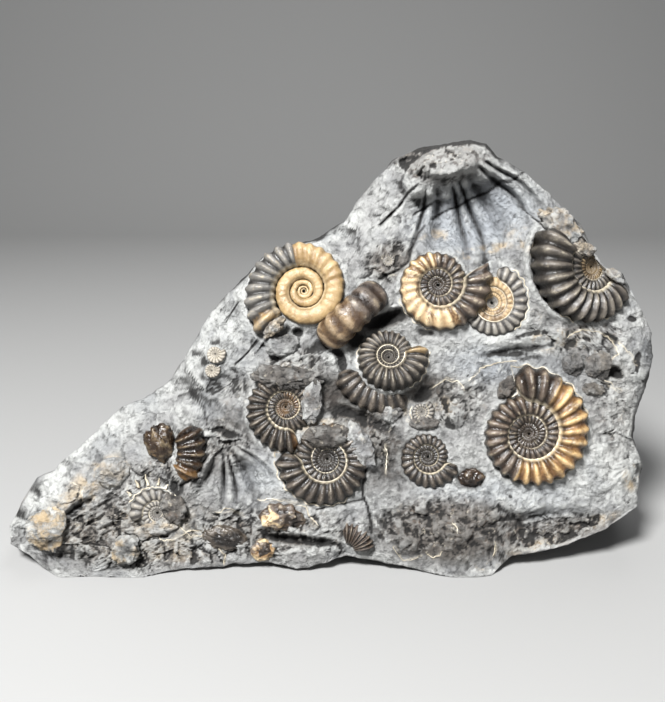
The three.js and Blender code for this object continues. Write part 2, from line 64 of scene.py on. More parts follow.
# coils above this radius, in millimetres, are finer and have a seam
bigCoil = 6
coilDetail = {True: {"core": 0.5, "stepsPerRib": 9, "sides": 24},
              False: {"core": 0.25, "stepsPerRib": 6, "sides": 14}}
# how the stone meets a shell of radius 16, in millimetres
seating = {"reach": 6, "pull": 0.85, "fade": 2.2, "sink": 0.35, "lip": 0.3, "under": 3.4, "radius": 16}
# how thick the calcite threads are, in millimetres, and how far they lie off the stone, in metres
threadRadius = {"lines": 0.13, "seam": 0.17, "rim": 0.16}
threadLift = {"lines": 0.00003, "spikes": 0.0003, "rim": 0.00005}
# where the foot of the face and of the back are held back, in millimetres up, and how far
foot = {"faceUpTo": 25, "faceShare": 0.75, "faceLeast": -0.3, "backUpTo": 40, "wall": 0.3}

# Slab and face, in millimetres, in the frame's axes. A place on the face is [across, up] on a
# plane that leans back, and goes deeper along the line of sight from the front.
slab = {
    "lean": math.radians(16), "viewDistance": 211.0, "viewFoot": (0.5, 52.9),
    "setBack": 26.4, "setAside": 0.5,
    "backAtFoot": 50.0, "backAtTop": 23.0, "backRound": 15.0,
    "upperRound": 10.0, "rightRound": 7.0, "lowerRound": 4.0,
    "columns": 352, "rows": 264, "backStep": 4,
    # outline: [across, up, depth of the rim]
    "upperEdge": [
        [-75, 12, 7], [-72.5, 16, 10], [-68.5, 23, 12], [-64.5, 25, 12], [-62, 28, 13],
        [-58.5, 30.5, 13], [-54, 35, 13], [-48.5, 40, 13], [-41.5, 43, 13], [-37.5, 46, 13],
        [-33.5, 52.5, 13], [-28, 62, 12], [-21, 69.5, 11], [-16, 75, 10], [-9.5, 77.5, 9],
        [-2.5, 79.5, 10], [3.5, 83.5, 11], [6.5, 88.5, 11], [14.5, 97.5, 10], [21, 100.5, 9],
        [33, 102.5, 9], [36.5, 101.5, 9], [39, 98.5, 9], [45.5, 95, 10], [49.5, 91.5, 10],
        [57.5, 83.5, 10], [61, 77, 9], [64.5, 72.5, 9], [68.5, 71, 8], [71, 66.5, 8]],
    "rightEdge": [
        [71, 66.5, 8], [74, 60, 8], [75.5, 57, 8], [75.5, 52, 8], [74, 45, 8], [71.5, 38, 8],
        [71, 33, 8], [73, 27, 7], [72, 21, 6], [72, 17, 5]],
    "lowerEdge": [
        [-75.5, 8, 5], [-70.5, 5, 3], [-67, 2, 2], [-64, 0, 1], [-54, 0, 1], [-46.5, -1, 0],
        [-40, 1, 1], [-33, 2, 2], [-21, 3, 3], [-16, 3.5, 3], [-8, 2, 2], [-1.5, 3, 2],
        [3.5, 5, 3], [9.5, 4, 3], [16.5, 2.5, 2], [30.5, -0.5, 0], [38, 0.5, 1], [42, 5, 3],
        [46.5, 5.5, 3], [55, 7.5, 4], [63.5, 11, 4], [67.5, 14, 5], [72, 17, 5]],
    # how deep the face lies: [across, up, depth]
    "levels": [
        [-66, 14, 5], [-55, 22, 5.5], [-45, 12, 2.5], [-40, 26, 3.5], [-45, 36, 7], [-30, 46, 6.5],
        [-22, 60, 6.5], [-10, 42, 2.5], [-20, 25, 3], [-1, 28, 1.5], [0, 12, 1.5], [-25, 9, 2.5],
        [24, 28, 3], [24, 12, 1.5], [46, 34, 3.5], [58, 18, 3.5], [71, 44, 5], [60, 47, 4.5],
        [61, 70, 5], [38, 57, 3], [14, 48, 3.5], [-6, 67, 4.5], [4, 52, 4], [14, 76, 4.5],
        [36, 84, 6], [12, 88, 6], [26, 97, 3], [52, 84, 6.5], [27, 68, 3.5]],
    # relief: [across, up, half length, half width, turn, height, flat share]
    "relief": [
        [-22.4, 45, 5.2, 4.8, 0, -1.8, 0.2], [-33, 38, 5.5, 6, 0, 1.4, 0.3],
        [33, 86, 19, 10.5, 12, -5, 0.45], [28, 97.5, 11, 4.5, 6, 3.4, 0.55],
        [9, 36.5, 9, 2.6, -22, -2.6, 0.2], [-7.5, 45.8, 7, 2.6, -8, -2.6, 0.2],
        [14, 60.5, 9, 2.6, 20, -3, 0.3], [43, 52.8, 11, 1.6, 8, -1.8, 0.2],
        [43, 56, 11, 2, 8, 1.3, 0.2], [50, 11.5, 17, 5.5, 6, -2.6, 0.5],
        [-20.5, 23, 9.5, 5.6, -12, -2.4, 0.4], [-60, 15.5, 8, 1.5, 33, -1.8, 0.2],
        [-52, 13, 8, 1.4, 30, 1.2, 0.2], [-7, 8.6, 11, 1.5, -5, -2.8, 0.3],
        [-7, 4.6, 9, 2.4, 0, 1.2, 0.3], [-7.6, 57.3, 1.8, 1.6, 0, -3, 0.3],
        [18.6, 7.5, 3.4, 2.6, 15, 1.6, 0.3], [67, 47.8, 3, 1.8, -25, -2.6, 0.3],
        [14.4, 39.2, 2.6, 2.4, 0, 1.4, 0.3], [-50, 6, 5, 4, 0, 1.2, 0.4],
        [-62, 4, 9, 2.5, 0, -1.4, 0.4], [55, 86, 4, 2.5, -40, 1.2, 0.3]],
}

# Coiled ammonites: radius at the mouth, angle of the mouth, growth in a turn, hand as seen
coils = {
    "ammonite_great_gold": dict(at=(46.5, 33.5), depth=3.2, radius=16.2, mouth=105, growth=1.75,
                                ribs=25, seam=0.46, ribHeight=0.13, thick=0.95),
    "ammonite_yellow": dict(at=(-6.2, 67), depth=3.4, radius=15.3, mouth=232, growth=2.05,
                            ribs=26, seam=0.5, ribHeight=0.13, thick=0.9, turnUp=4, turnRight=-6),
    "ammonite_centre": dict(at=(13.7, 51.4), depth=2.4, radius=9.4, mouth=20, growth=1.6,
                            ribs=24, seam=0.36, ribHeight=0.11, thick=1.1, turnUp=22),
    "ammonite_left_centre": dict(at=(-10.4, 39.8), depth=2.6, radius=11, mouth=290, growth=1.85,
                                 ribs=26, seam=0.44, ribHeight=0.15, thick=0.85),
    "ammonite_low_centre": dict(at=(-0.8, 27.6), depth=2, radius=12.2, mouth=172, hand=-1,
                                growth=1.65, ribs=24, seam=0.45, ribHeight=0.13, thick=0.9),
    "ammonite_small_dark": dict(at=(22.8, 28.1), depth=3.2, radius=8.2, mouth=345, growth=1.8,
                                ribs=22, seam=0.5, ribHeight=0.12, thick=0.8),
    "ammonite_horned": dict(at=(25.2, 68.4), depth=2.8, radius=13, mouth=24, growth=1.9,
                            ribs=22, seam=0.45, lipShift=1.0, ribHeight=0.12, thick=0.9),
    "ammonite_beside_horned": dict(at=(37.8, 64.2), depth=3.4, radius=9.3, mouth=80, growth=1.5,
                                   ribs=24, seam=0.55, ribHeight=0.1, thick=0.8),
    "ammonite_right_edge": dict(at=(61, 72.6), depth=4.6, radius=16.2, mouth=140, hand=-1,
                                growth=1.85, ribs=26, seam=0.42, ribHeight=0.13, thick=0.95, turnRight=20),
    "ammonite_lower_left": dict(at=(-40.6, 15), depth=2.6, radius=6.8, mouth=200, growth=1.8,
                                ribs=18, ribHeight=0.1, thick=0.7),
    "coil_among_ribs": dict(at=(21.4, 38.6), depth=3, radius=3.3, mouth=60, growth=1.7,
                            ribs=16, ribHeight=0.08, thick=0.8),
    "coil_cream_upper": dict(at=(-27, 52.2), depth=5.4, radius=2.7, mouth=30, growth=1.7,
                             ribs=14, ribHeight=0.06, thick=0.9),
    "coil_cream_lower": dict(at=(-27.8, 48.4), depth=5.4, radius=2.2, mouth=30, growth=1.7,
                             ribs=14, ribHeight=0.06, thick=0.9),
    "coil_tiny": dict(at=(13.5, 74), depth=4.2, radius=1.8, mouth=90, growth=1.7,
                      ribs=14, ribHeight=0.05, thick=0.9),
}

# The upper right of the right-edge ammonite broke away: line on the face, stone kept below it
brokenLine = [[50, 92.5], [56, 84.5], [61.6, 77], [64.6, 72.8], [67.6, 71.4], [90, 75]]

# Bent ribbed bars: arc radius, bar radius, angles from and to, heading and plunge of the arc
whorls = {
    "whorl_edge_on": dict(at=(5.2, 61.4), depth=7.2, arc=7.2, bar=4, span=(14, 166), heading=43,
                          plunge=90, ribs=7, ribHeight=0.045),
    "whorl_under_centre": dict(at=(12.2, 51), depth=4.2, arc=9.6, bar=3.3, span=(196, 304),
                               ribs=9, ribHeight=0.07),
    "whorl_glossy": dict(at=(-42, 29.5), depth=3.4, arc=9.6, bar=3.3, span=(-42, 34),
                         ribs=6, ribHeight=0.11),
    "whorl_quarter": dict(at=(3.6, 6), depth=2.2, arc=4.4, bar=2.4, span=(0, 98),
                          ribs=9, ribHeight=0.12),
}

# Rounded lumps: half length, half height and half thickness
lumps = {
    "nodule_cream_tip": dict(at=(-66.4, 11), depth=3.6, half=(4.8, 5.1, 2.6), turn=0, golden=0.3),
    "nodule_cream_base": dict(at=(-47.9, 6.5), depth=1.2, half=(3.7, 3.4, 2.4), turn=0),
    "nodule_purple": dict(at=(-50.9, 24.6), depth=4.2, half=(4, 3.3, 2.4), turn=10),
    "lump_brown": dict(at=(-39.9, 32), depth=4, half=(3.2, 4.2, 2.6), turn=20, folds=3, golden=-0.7),
    "dome_dark": dict(at=(-11.8, 54.4), depth=3.4, half=(4.2, 2.8, 2.4), turn=-8),
    "fragment_arched": dict(at=(-11, 14), depth=1.8, half=(5, 3, 1.8), turn=-8, folds=4, golden=0.12),
    "fragment_dark": dict(at=(-24.7, 9.2), depth=2.4, half=(5, 2.7, 2), turn=-12, golden=-0.4),
    "fragment_gold": dict(at=(-15.8, 6.4), depth=2.4, half=(2.8, 2.4, 1.8), turn=0, golden=0.5),
    "pebble_dark": dict(at=(32.9, 22.9), depth=4.2, half=(3.2, 2.8, 1.8), turn=0, golden=-0.6),
    "lump_right_small": dict(at=(56.8, 49.7), depth=4.2, half=(2.5, 2.8, 2.2), turn=0),
    "lump_right_large": dict(at=(62.8, 49.4), depth=4.4, half=(3.2, 3.4, 2.2), turn=0),
    "lump_right_low": dict(at=(61.7, 44), depth=4.2, half=(2.8, 1.7, 1.8), turn=-15),
}


# Numbers that vary smoothly or in facets over the stone

def hashed(x, y, z, seed):
    mixed = (x * 374761393 + y * 668265263 + z * 982451653 + seed * 1274126177) & 0xFFFFFFFF
    mixed = ((mixed ^ (mixed >> 13)) * 1274126177) & 0xFFFFFFFF
    return ((mixed ^ (mixed >> 16)) & 0xFFFFFF) / 0x7FFFFF - 1.0


def softNoise(points, size, seed):
    scaled = points / size + seed * 3.7
    corner = np.floor(scaled).astype(np.int64)
    part = scaled - corner
    part = part * part * part * (part * (part * 6 - 15) + 10)
    x, y, z = corner[..., 0], corner[..., 1], corner[..., 2]
    fx, fy, fz = part[..., 0], part[..., 1], part[..., 2]
    total = np.zeros(x.shape)
    for dx in (0, 1):
        for dy in (0, 1):
            for dz in (0, 1):
                weight = (fx if dx else 1 - fx) * (fy if dy else 1 - fy) * (fz if dz else 1 - fz)
                total += weight * hashed(x + dx, y + dy, z + dz, seed)
    return total


def layeredNoise(points, size, octaves, seed, gain=0.5):
    total = np.zeros(points.shape[:-1])
    strength = 1.0
    for octave in range(octaves):
        total += strength * softNoise(points, size * 0.5 ** octave, seed + octave * 11)
        strength *= gain
    return total


def chippedFacets(across, up, size, seed, tilt=1.1):
    # tilted flat facets, one in each jittered cell, as a chipped stone breaks
    px, py = across / size, up / size
    cellX, cellY = np.floor(px).astype(np.int64), np.floor(py).astype(np.int64)
    nearest = np.full(px.shape, 9.0)
    value = np.zeros(px.shape)
    for ox in (-1, 0, 1):
        for oy in (-1, 0, 1):
            gx, gy = cellX + ox, cellY + oy
            dx = px - gx - 0.5 - 0.42 * hashed(gx, gy, 1, seed)
            dy = py - gy - 0.5 - 0.42 * hashed(gx, gy, 2, seed)
            away = np.hypot(dx, dy)
            facet = 0.7 * hashed(gx, gy, 3, seed) + tilt * (dx * hashed(gx, gy, 4, seed)
                                                          + dy * hashed(gx, gy, 5, seed))
            nearer = away < nearest
            value = np.where(nearer, facet, value)
            nearest = np.where(nearer, away, nearest)
    return value


def smooth(low, high, value):
    share = np.clip((value - low) / (high - low), 0, 1)
    return share * share * (3 - 2 * share)


def mix(a, b, share):
    return a + (b - a) * share


# The face of the slab

def place(across, up, depth):
    spread = 1 + depth / slab["viewDistance"]
    u = slab["viewFoot"][0] + (across - slab["viewFoot"][0]) * spread
    v = slab["viewFoot"][1] + (up - slab["viewFoot"][1]) * spread
    lean = slab["lean"]
    x = u - slab["setAside"]
    y = v * math.sin(lean) + depth * math.cos(lean) - slab["setBack"]
    z = v * math.cos(lean) - depth * math.sin(lean)
    return np.stack(np.broadcast_arrays(x, y, z), axis=-1) * millimetre


def spotAt(at, depth=0.0):
    return Vector(place(np.float64(at[0]), np.float64(at[1]), depth))


def eyeSpot():
    return spotAt(slab["viewFoot"], -slab["viewDistance"])


def heightOn(edge, across):
    return np.interp(across, [p[0] for p in edge], [p[1] for p in edge])


def distanceTo(chain, across, up):
    nearest = np.full(np.shape(across), 1e6)
    for (ax, ay, *_), (bx, by, *_) in zip(chain[:-1], chain[1:]):
        length = (bx - ax) ** 2 + (by - ay) ** 2
        share = np.clip(((across - ax) * (bx - ax) + (up - ay) * (by - ay)) / length, 0, 1)
        nearest = np.minimum(nearest, np.hypot(across - ax - share * (bx - ax),
                                               up - ay - share * (by - ay)))
    return nearest


def blended(rows, across, up, power):
    total = np.zeros(np.shape(across))
    sums = [np.zeros(np.shape(across)) for _ in rows[0][2:]]
    for row in rows:
        weight = 1 / (np.hypot(across - row[0], up - row[1]) ** power + 1e-6)
        total += weight
        for k, value in enumerate(row[2:]):
            sums[k] += weight * value
    return [s / total for s in sums]


def rimAt(across, up):
    edges = [slab[name] for name in ("upperEdge", "rightEdge", "lowerEdge")]
    rounds = [slab[name] for name in ("upperRound", "rightRound", "lowerRound")]
    near = np.minimum.reduce([distanceTo(edge, across, up) for edge in edges])
    rims = [p + [rounded] for edge, rounded in zip(edges, rounds) for p in edge]
    return near, *blended(rims, across, up, 4)


def insideOf(across, up, u, v, long, wide, turn, flat=0.0):
    # 1 in the middle of an ellipse, 0 from its edge outwards
    angle = math.radians(turn)
    du, dv = across - u, up - v
    along = (du * math.cos(angle) + dv * math.sin(angle)) / long
    aside = (dv * math.cos(angle) - du * math.sin(angle)) / wide
    return 1 - smooth(flat, 1, np.hypot(along, aside))


def plainFront(across, up):
    near, rimDepth, rounded = rimAt(across, up)
    depth = blended(slab["levels"], across, up, 3)[0]
    for *ellipse, height, flat in slab["relief"]:
        depth = depth - height * insideOf(across, up, *ellipse, flat)
    inward = np.minimum(1, near / rounded)
    return mix(rimDepth, depth, 1 - (1 - inward) ** 1.7)


def plainBack(across, up):
    near, rimDepth, _ = rimAt(across, up)
    swell = 2 * np.sin(across / 17) * np.cos(up / 14) + 1.4 * np.sin(across / 7 + up / 9)
    wall = mix(slab["backAtFoot"], slab["backAtTop"], up / 100) + swell
    inward = np.minimum(1, near / slab["backRound"])
    return mix(rimDepth, wall, 1 - (1 - inward) ** 2.4)


# Where the face is rough: [across, up, half length, half width, turn, how much]
ground = {
    "rough": [
        [-50, 13, 24, 8, 12, 0.95], [-44, 6, 28, 6, 0, 0.9], [-42, 22, 18, 7, 25, 0.8],
        [-15, 10, 28, 8, 0, 0.9], [28, 12, 24, 9, 0, 1.0], [-28, 30, 14, 8, 30, 0.7],
        [8, 33, 12, 8, 0, 0.8], [14, 74, 8, 6, 20, 1.0], [26, 98, 16, 6, 6, 0.95],
        [30, 41, 10, 8, 0, 0.55], [60, 56, 12, 6, 0, 0.8], [66, 40, 8, 20, 0, 0.5],
        [52, 10, 20, 5, 8, 1.0], [47, 61, 7, 4, 0, 0.4], [-8, 50, 10, 5, 0, 0.7],
        [-20, 42, 10, 8, 0, 0.5]],
    # pale, bluish, warm and dark stretches: same columns
    "pale": [
        [-50, 37, 26, 6, 38, 1.0], [-25, 58, 16, 8, 55, 1.0], [0, 82, 12, 5, 30, 0.9],
        [-66, 20, 12, 4, 50, 1.0], [46, 92, 10, 6, -40, 0.3], [-22, 46, 8, 8, 0, 0.7],
        [60, 26, 16, 14, 0, 0.9], [20, 90, 14, 9, 50, 0.2], [70, 36, 8, 24, 0, 0.9],
        [44, 20, 26, 9, 4, 0.75], [40, 54, 22, 5, 4, 0.6], [-14, 24, 6, 6, 0, 0.5],
        [10, 4, 8, 3, 0, 0.6], [-46, 10, 24, 7, 8, 0.45]],
    "blue": [
        [34, 84, 20, 12, 12, 1.0], [40, 18, 22, 9, 0, 0.6], [36, 50, 14, 6, 0, 0.6],
        [14, 28, 10, 8, 0, 0.5], [-16, 24, 10, 6, 0, 0.6]],
    "warm": [
        [28, 8, 14, 5, 0, 0.45], [16, 40, 5, 3, 0, 0.5], [-42, 8, 16, 5, 5, 0.5],
        [50, 77, 12, 4, -25, 0.8], [-54, 24, 10, 4, 30, 0.7], [-60, 18, 9, 5, 30, 0.6],
        [70.5, 23.5, 2.5, 4.5, 0, 1.0], [12, 40, 5, 3, 0, 0.9], [-10, 48, 5, 3, 0, 0.8],
        [56, 56, 8, 3, 0, 0.7], [34, 76, 13, 1.6, 12, 0.9], [-2, 35, 8, 3, 0, 0.6],
        [-37, 5, 12, 2, 0, 0.9], [60, 12, 10, 2, 20, 0.8], [38, 2.6, 6, 1.2, 8, 0.8],
        [50, 8, 8, 1.6, 22, 0.8], [26, 40, 5, 3, 0, 0.7], [24, 80, 6, 2, 0, 0.5],
        [36, 14, 6, 3, 0, 0.5], [50, 55, 4, 2.5, -40, 1.0], [-46, 11, 25, 8, 6, 0.4],
        [46, 5, 18, 4, 8, 0.4]],
    # dark: partly dark stone, partly painted shade over the hollows between and round the shells and the dark
    # pebble
    "dark": [
        [14, 74, 7, 5, 20, 0.75], [7, 36.5, 7, 3, 0, 0.8], [-8, 46, 7, 3, 0, 0.9],
        [29, 10, 24, 10, 0, 1.0], [4, 42, 17, 7, -20, 1.0], [12, 28, 12, 11, 0, 0.75],
        [-22, 34, 8, 6, 0, 0.5], [22, 44, 8, 5, 0, 0.8], [3, 57, 8, 5, 10, 0.8],
        [-8, 8.6, 12, 2, -5, 0.9], [14, 60, 9, 3, 20, 0.8], [28, 93.5, 9, 2, 5, 0.6],
        [26, 98, 14, 5, 6, 0.35], [-46, 11, 28, 10, 8, 0.4], [-26, 28, 10, 6, 30, 0.4],
        [52, 11, 16, 4, 6, 0.45], [-22, 10, 9, 4, 0, 0.6], [-56, 12, 10, 4, 20, 0.35],
        [32.9, 23, 4.5, 3.6, 0, 0.9], [66, 48, 5, 3, -20, 0.6]],
}

# Ribs left in the stone by great whorls: foot of the fan, first and last rib, reach
moulds = {
    "great": dict(foot=(24, 105), span=(-96, -30), count=7, near=13, far=38, height=2.8, bend=7),
    "fan": dict(foot=(-25.5, 33), span=(-122, -36), count=6, near=3.6, far=18, height=2.3, bend=8),
}

# Cracks: half width, depth and the places that each runs through
cracks = [
    dict(width=0.21, deep=0.9, path=[[24, 84], [27.3, 85.9], [30.4, 87], [33.2, 88.7], [36.7, 90],
                                     [39.7, 92.7], [42.5, 92.9], [45.3, 94.8]]),
    dict(width=0.21, deep=0.9, path=[[19.8, 85], [23.8, 87.6]]),
    dict(width=0.26, deep=1.1, path=[[11.6, 82.4], [16.3, 87.1], [18.1, 90.1], [20.5, 92]]),
    dict(width=0.24, deep=1.0, path=[[22.1, 82.2], [20.5, 80.3], [18.9, 76.6], [18.2, 73.7],
                                    [15.8, 71.9], [11.6, 70]]),
    dict(width=0.16, deep=0.6, path=[[-21.2, 64.6], [-23.1, 62], [-24.5, 59.7]]),
    dict(width=0.19, deep=0.8, path=[[-17, 55.2], [-21.2, 50.8], [-22.4, 49.6]]),
    dict(width=0.24, deep=1.0, path=[[8.5, 30], [7.4, 28.3], [8.3, 25], [7.6, 21.5], [7.6, 19.2],
                                    [8.6, 16.8], [9.5, 13.3], [9.7, 10.3]]),
    dict(width=0.19, deep=0.6, path=[[8, 18], [2, 17], [-3, 15.8]]),
    dict(width=0.16, deep=0.5, path=[[-35.7, 42.2], [-32.4, 43.1], [-29.6, 39.2], [-28.6, 35.6]]),
]

# Thin lines of white calcite on the stone: half width and places
calciteLines = [
    dict(width=0.18, path=[[67.4, 55], [70.6, 52], [72, 49.7]]),
    dict(width=0.18, path=[[55.6, 56], [59, 58], [63, 57.4], [66, 55.4], [67.5, 52.5], [65.5, 50.4]]),
    dict(width=0.15, path=[[-41, 11], [-40, 8.6], [-37, 8.4], [-33, 11], [-30, 10.6]]),
    dict(width=0.15, path=[[13, 31], [13.4, 27], [13, 23.6]]),
    dict(width=0.18, path=[[-17, 18], [-11, 17.6], [-6, 16.4], [-3, 11.6]]),
    dict(width=0.15, path=[[-27, 15], [-23, 15.6], [-20, 14.4]]),
    dict(width=0.18, path=[[15, 7], [17, 3.6], [21, 4.6]]),
    dict(width=0.15, path=[[17.5, 40.5], [18.4, 37], [20.6, 35.4], [22.6, 35.2]]),
    dict(width=0.18, path=[[60.5, 50.6], [62, 47], [65.5, 45.6], [68, 43]]),
    dict(width=0.15, path=[[-61, 22], [-58, 20.6], [-58.4, 17]]),
    dict(width=0.16, path=[[32.7, 46.1], [35.5, 48.9], [39.7, 50.3], [43.7, 50.8]]),
    dict(width=0.14, path=[[24, 44.6], [27, 46.4], [30, 45.6], [32, 43.4]]),
    dict(width=0.14, path=[[28.6, 12.6], [30, 11.4], [30, 9.8]]),
    dict(width=0.14, path=[[38.6, 8], [38.8, 6], [38, 4.4]]),
    dict(width=0.12, path=[[22.4, 5.6], [24.6, 4.4], [26.2, 6]]),
    dict(width=0.14, path=[[-28, 8], [-24.6, 5.4], [-25, 2.8]]),
    dict(width=0.14, path=[[-14, 33.4], [-12.4, 30.6], [-13.4, 28]]),
    dict(width=0.14, path=[[-36, 12.6], [-33, 9.4], [-29.4, 9.4]]),
]

# Pointed white bits: foot, run to the tip, and thickness at the foot
spikes = [
    [-45, 20.6, -0.6, 2.4, 3.8], [-42.6, 21.2, -0.9, 3.0, 3.0], [-40.4, 21.2, 0.3, 2.0, 2.6],
    [-46.6, 19, -1.2, 0.9, 3.0], [-38.8, 20.6, 1.0, 1.2, 2.4],
]

# Chips in the face: strength, size and seed of each grade
chips = [(0.8, 6.5, 21), (0.45, 2.9, 22), (0.3, 1.3, 23)]
# Ground of its own: [across, up, half length, half width, turn, flat share]
furrowed = [-56, 14, 17, 8, 25, 0.3]
striated = [22, 93, 22, 9, 28, 0.4]
summit = [27.5, 95.4, 12.5, 6.4, 16, 0.72]
summitHeight = 2.2

# Small deep places between the shells, which the material also darkens as painted shade: [across, up, half
# length, half width, turn, extra depth]
recesses = [
    [13, 60.4, 8, 2.4, 18, 2.2], [22, 42.8, 4, 2, 30, 1.2], [2.6, 51, 2, 4, 20, 1.6],
    [45.4, 51.6, 5, 1.3, 0, 0.8], [6.4, 55.4, 3, 3, 0, 1.6], [22.6, 57.6, 3, 2.2, 0, 1.0],
    [8, 42, 9, 2.8, -28, 1.6], [-4, 46.6, 6, 2, -12, 1.6], [-2, 54, 4, 2, 20, 1.0],
    [2, 38.4, 5, 2.4, 0, 1.2], [32.8, 23, 3.9, 3.3, 0, 1.6], [70.6, 60.6, 1.6, 1.2, 0, 1.4],
    [72.2, 50.6, 1.2, 3.4, 0, 1.2], [-27, 44.6, 3, 2.4, 0, 1.0], [-32, 24, 3, 5, 20, 1.2],
    [-24.6, 10, 6, 2, -14, 1.4], [-13, 9.8, 5, 1.2, -16, 1.0], [-3.4, 7.8, 5, 0.9, -4, 1.0],
    [-24, 33.6, 6, 1.3, -14, 1.5], [28, 36, 4, 2, 0, 0.8], [66, 56, 3, 1.4, -30, 0.8],
    [46, 56.4, 8, 1.1, 8, 0.8], [-36, 20.4, 3, 2, 0, 0.9],
]


def behindMouth(coil, angle):
    # how far back along the last whorl a direction lies, in radians
    return np.mod(coil.get("hand", 1) * (math.radians(coil["mouth"]) - angle), fullTurn)


def spiralRadius(coil, angle):
    # outer radius of the last whorl in a direction, in millimetres
    return coil["radius"] * coil["growth"] ** (-behindMouth(coil, angle) / fullTurn)


def seatCoils(across, up, depth):
    # the stone meets each shell at the middle of its last whorl and drops away under it
    for coil in coils.values():
        spread = 1 + coil["depth"] / slab["viewDistance"]
        x = (across - coil["at"][0]) * spread
        y = (up - coil["at"][1]) * spread
        angle = np.arctan2(y, x)
        outside = np.hypot(x, y) - spiralRadius(coil, angle)
        plane = (coil["depth"] + x * math.tan(math.radians(coil.get("turnRight", 0)))
                 + y * math.tan(math.radians(coil.get("turnUp", 0))))
        scale = coil["radius"] / seating["radius"]
        pull = seating["pull"] * np.exp(-np.clip(outside, 0, None) / (seating["fade"] * scale))
        seated = mix(depth, plane + seating["sink"] * scale, pull)
        seated = seated - seating["lip"] * scale * np.exp(-((outside - 0.5) / 0.5) ** 2)
        under = (1 - smooth(-1.1, -0.25, outside)) * smooth(0.02, 0.3, behindMouth(coil, angle))
        sunk = mix(seated, plane + seating["under"] * scale, under)
        depth = np.where(outside < seating["reach"], sunk, depth)
    return depth


def detailedFront(across, up):
    flatPoints = np.stack([across, up, np.zeros_like(across)], axis=-1)
    warpX, warpY = [1.4 * layeredNoise(flatPoints, 5, 2, seed) for seed in (3, 5)]
    rough = coverOf("rough", across, up)
    rough = np.clip(rough + 0.25 * layeredNoise(flatPoints, 9, 3, 7), 0.08, 1)
    plain = plainFront(across, up)
    calm = 1 - 0.75 * mouldCover(across, up)
    shifts = [(warpX, warpY), (warpY, warpX), (warpY, -warpX)]
    chipped = sum(strength * chippedFacets(across + dx, up + dy, size, seed)
                  for (strength, size, seed), (dx, dy) in zip(chips, shifts))
    depth = plain + calm * (0.3 + rough) * chipped
    depth = depth + (0.3 + 0.4 * rough) * layeredNoise(flatPoints, 7, 6, 9, 0.66)
    depth = depth - 0.8 * shellBits(across, up) + mouldRelief(across, up)
    slant = up - 0.62 * across
    furrows = np.sin((slant + 1.2 * warpX) * 1.9) + 0.6 * np.sin(slant * 4.3 + warpY)
    depth = depth + 0.28 * furrows * insideOf(across, up, *furrowed)
    striae = np.sin((up - 0.5 * across + 0.8 * warpX) * 5.2)
    depth = depth + 0.07 * striae * insideOf(across, up, *striated)
    depth = depth - summitHeight * insideOf(across + 1.3 * warpX, up + 1.3 * warpY, *summit)
    for *ellipse, extra in recesses:
        depth = depth + extra * insideOf(across + 0.5 * warpX, up + 0.5 * warpY, *ellipse, 0.3)
    depth = seatCoils(across, up, depth)
    for crack in cracks:
        away = distanceTo(crack["path"], across + 0.35 * warpX, up + 0.35 * warpY)
        depth = depth + crack["deep"] * np.exp(-(away / crack["width"]) ** 2)
    return mix(plain, depth, smooth(0, 1.2, rimAt(across, up)[0]))


def shellBits(across, up):
    # broken ribbed bits of shell that crowd the rough stretches, as low domes
    total = np.zeros(np.shape(across))
    rng = np.random.default_rng(12)
    for u, v, long, wide, turn, value in ground["rough"]:
        for _ in range(int(long * wide * value * 0.17)):
            angle, away = rng.uniform(0, 2 * math.pi), math.sqrt(rng.uniform(0, 1))
            tilt = math.radians(turn)
            du, dv = long * away * math.cos(angle), wide * away * math.sin(angle)
            x = across - (u + du * math.cos(tilt) - dv * math.sin(tilt))
            y = up - (v + du * math.sin(tilt) + dv * math.cos(tilt))
            size = rng.uniform(1.2, 4.2)
            spin = rng.uniform(0, 2 * math.pi)
            px = (x * math.cos(spin) + y * math.sin(spin)) / size
            py = (y * math.cos(spin) - x * math.sin(spin)) / (size * rng.uniform(0.45, 0.8))
            reach = px * px + py * py
            ribs = 0.22 * np.cos(np.arctan2(py, px + 0.9) * rng.uniform(14, 22))
            height = rng.uniform(-0.6, 1.0) * size ** 0.5
            bowl = np.where(reach < 1, (1 - reach) ** 0.7 * (1 + ribs), 0) * height
            total = np.where(reach < 1, bowl, total)
    return total


def mouldTurn(mould, across, up):
    # which rib of a mould a place lies on, and how much of the mould shows there
    du, dv = across - mould["foot"][0], up - mould["foot"][1]
    reach = np.hypot(du, dv)
    first, last = mould["span"]
    share = (reach - mould["near"]) / (mould["far"] - mould["near"])
    angle = np.degrees(np.arctan2(dv, du)) + mould["bend"] * share ** 2 + 0.8 * np.sin(0.3 * reach + 0.2 * du)
    turn = (angle - first) / (last - first) * (mould["count"] - 1)
    turn = turn + 0.22 * np.sin(2.1 * turn + 0.7)
    shown = (smooth(-0.5, 0.2, turn) * (1 - smooth(mould["count"] - 0.8, mould["count"] - 0.3, turn))
             * smooth(mould["near"], mould["near"] + 3, reach)
             * (1 - smooth(mould["far"] * 0.72, mould["far"], reach)))
    return turn, shown


def mouldRelief(across, up):
    total = np.zeros(np.shape(across))
    for mould in moulds.values():
        turn, shown = mouldTurn(mould, across, up)
        off = 1 - 2 * np.abs(turn - np.round(turn))
        bulge = 0.5 + 0.5 * np.cos(math.pi * np.abs(off) ** 1.6)
        total -= mould["height"] * shown * (bulge - 0.55)
    return total


def mouldCover(across, up):
    return np.max([mouldTurn(mould, across, up)[1] for mould in moulds.values()], axis=0)


def coverOf(kind, across, up):
    cover = np.zeros(np.shape(across))
    for *ellipse, value in ground[kind]:
        cover = np.maximum(cover, value * insideOf(across, up, *ellipse, 0.35))
    return cover


def lineMask(lines, across, up, widen=1.0):
    mask = np.zeros(across.shape)
    for line in lines:
        away = distanceTo(line["path"], across, up)
        mask = np.maximum(mask, np.exp(-(away / (widen * line["width"])) ** 2))
    return mask


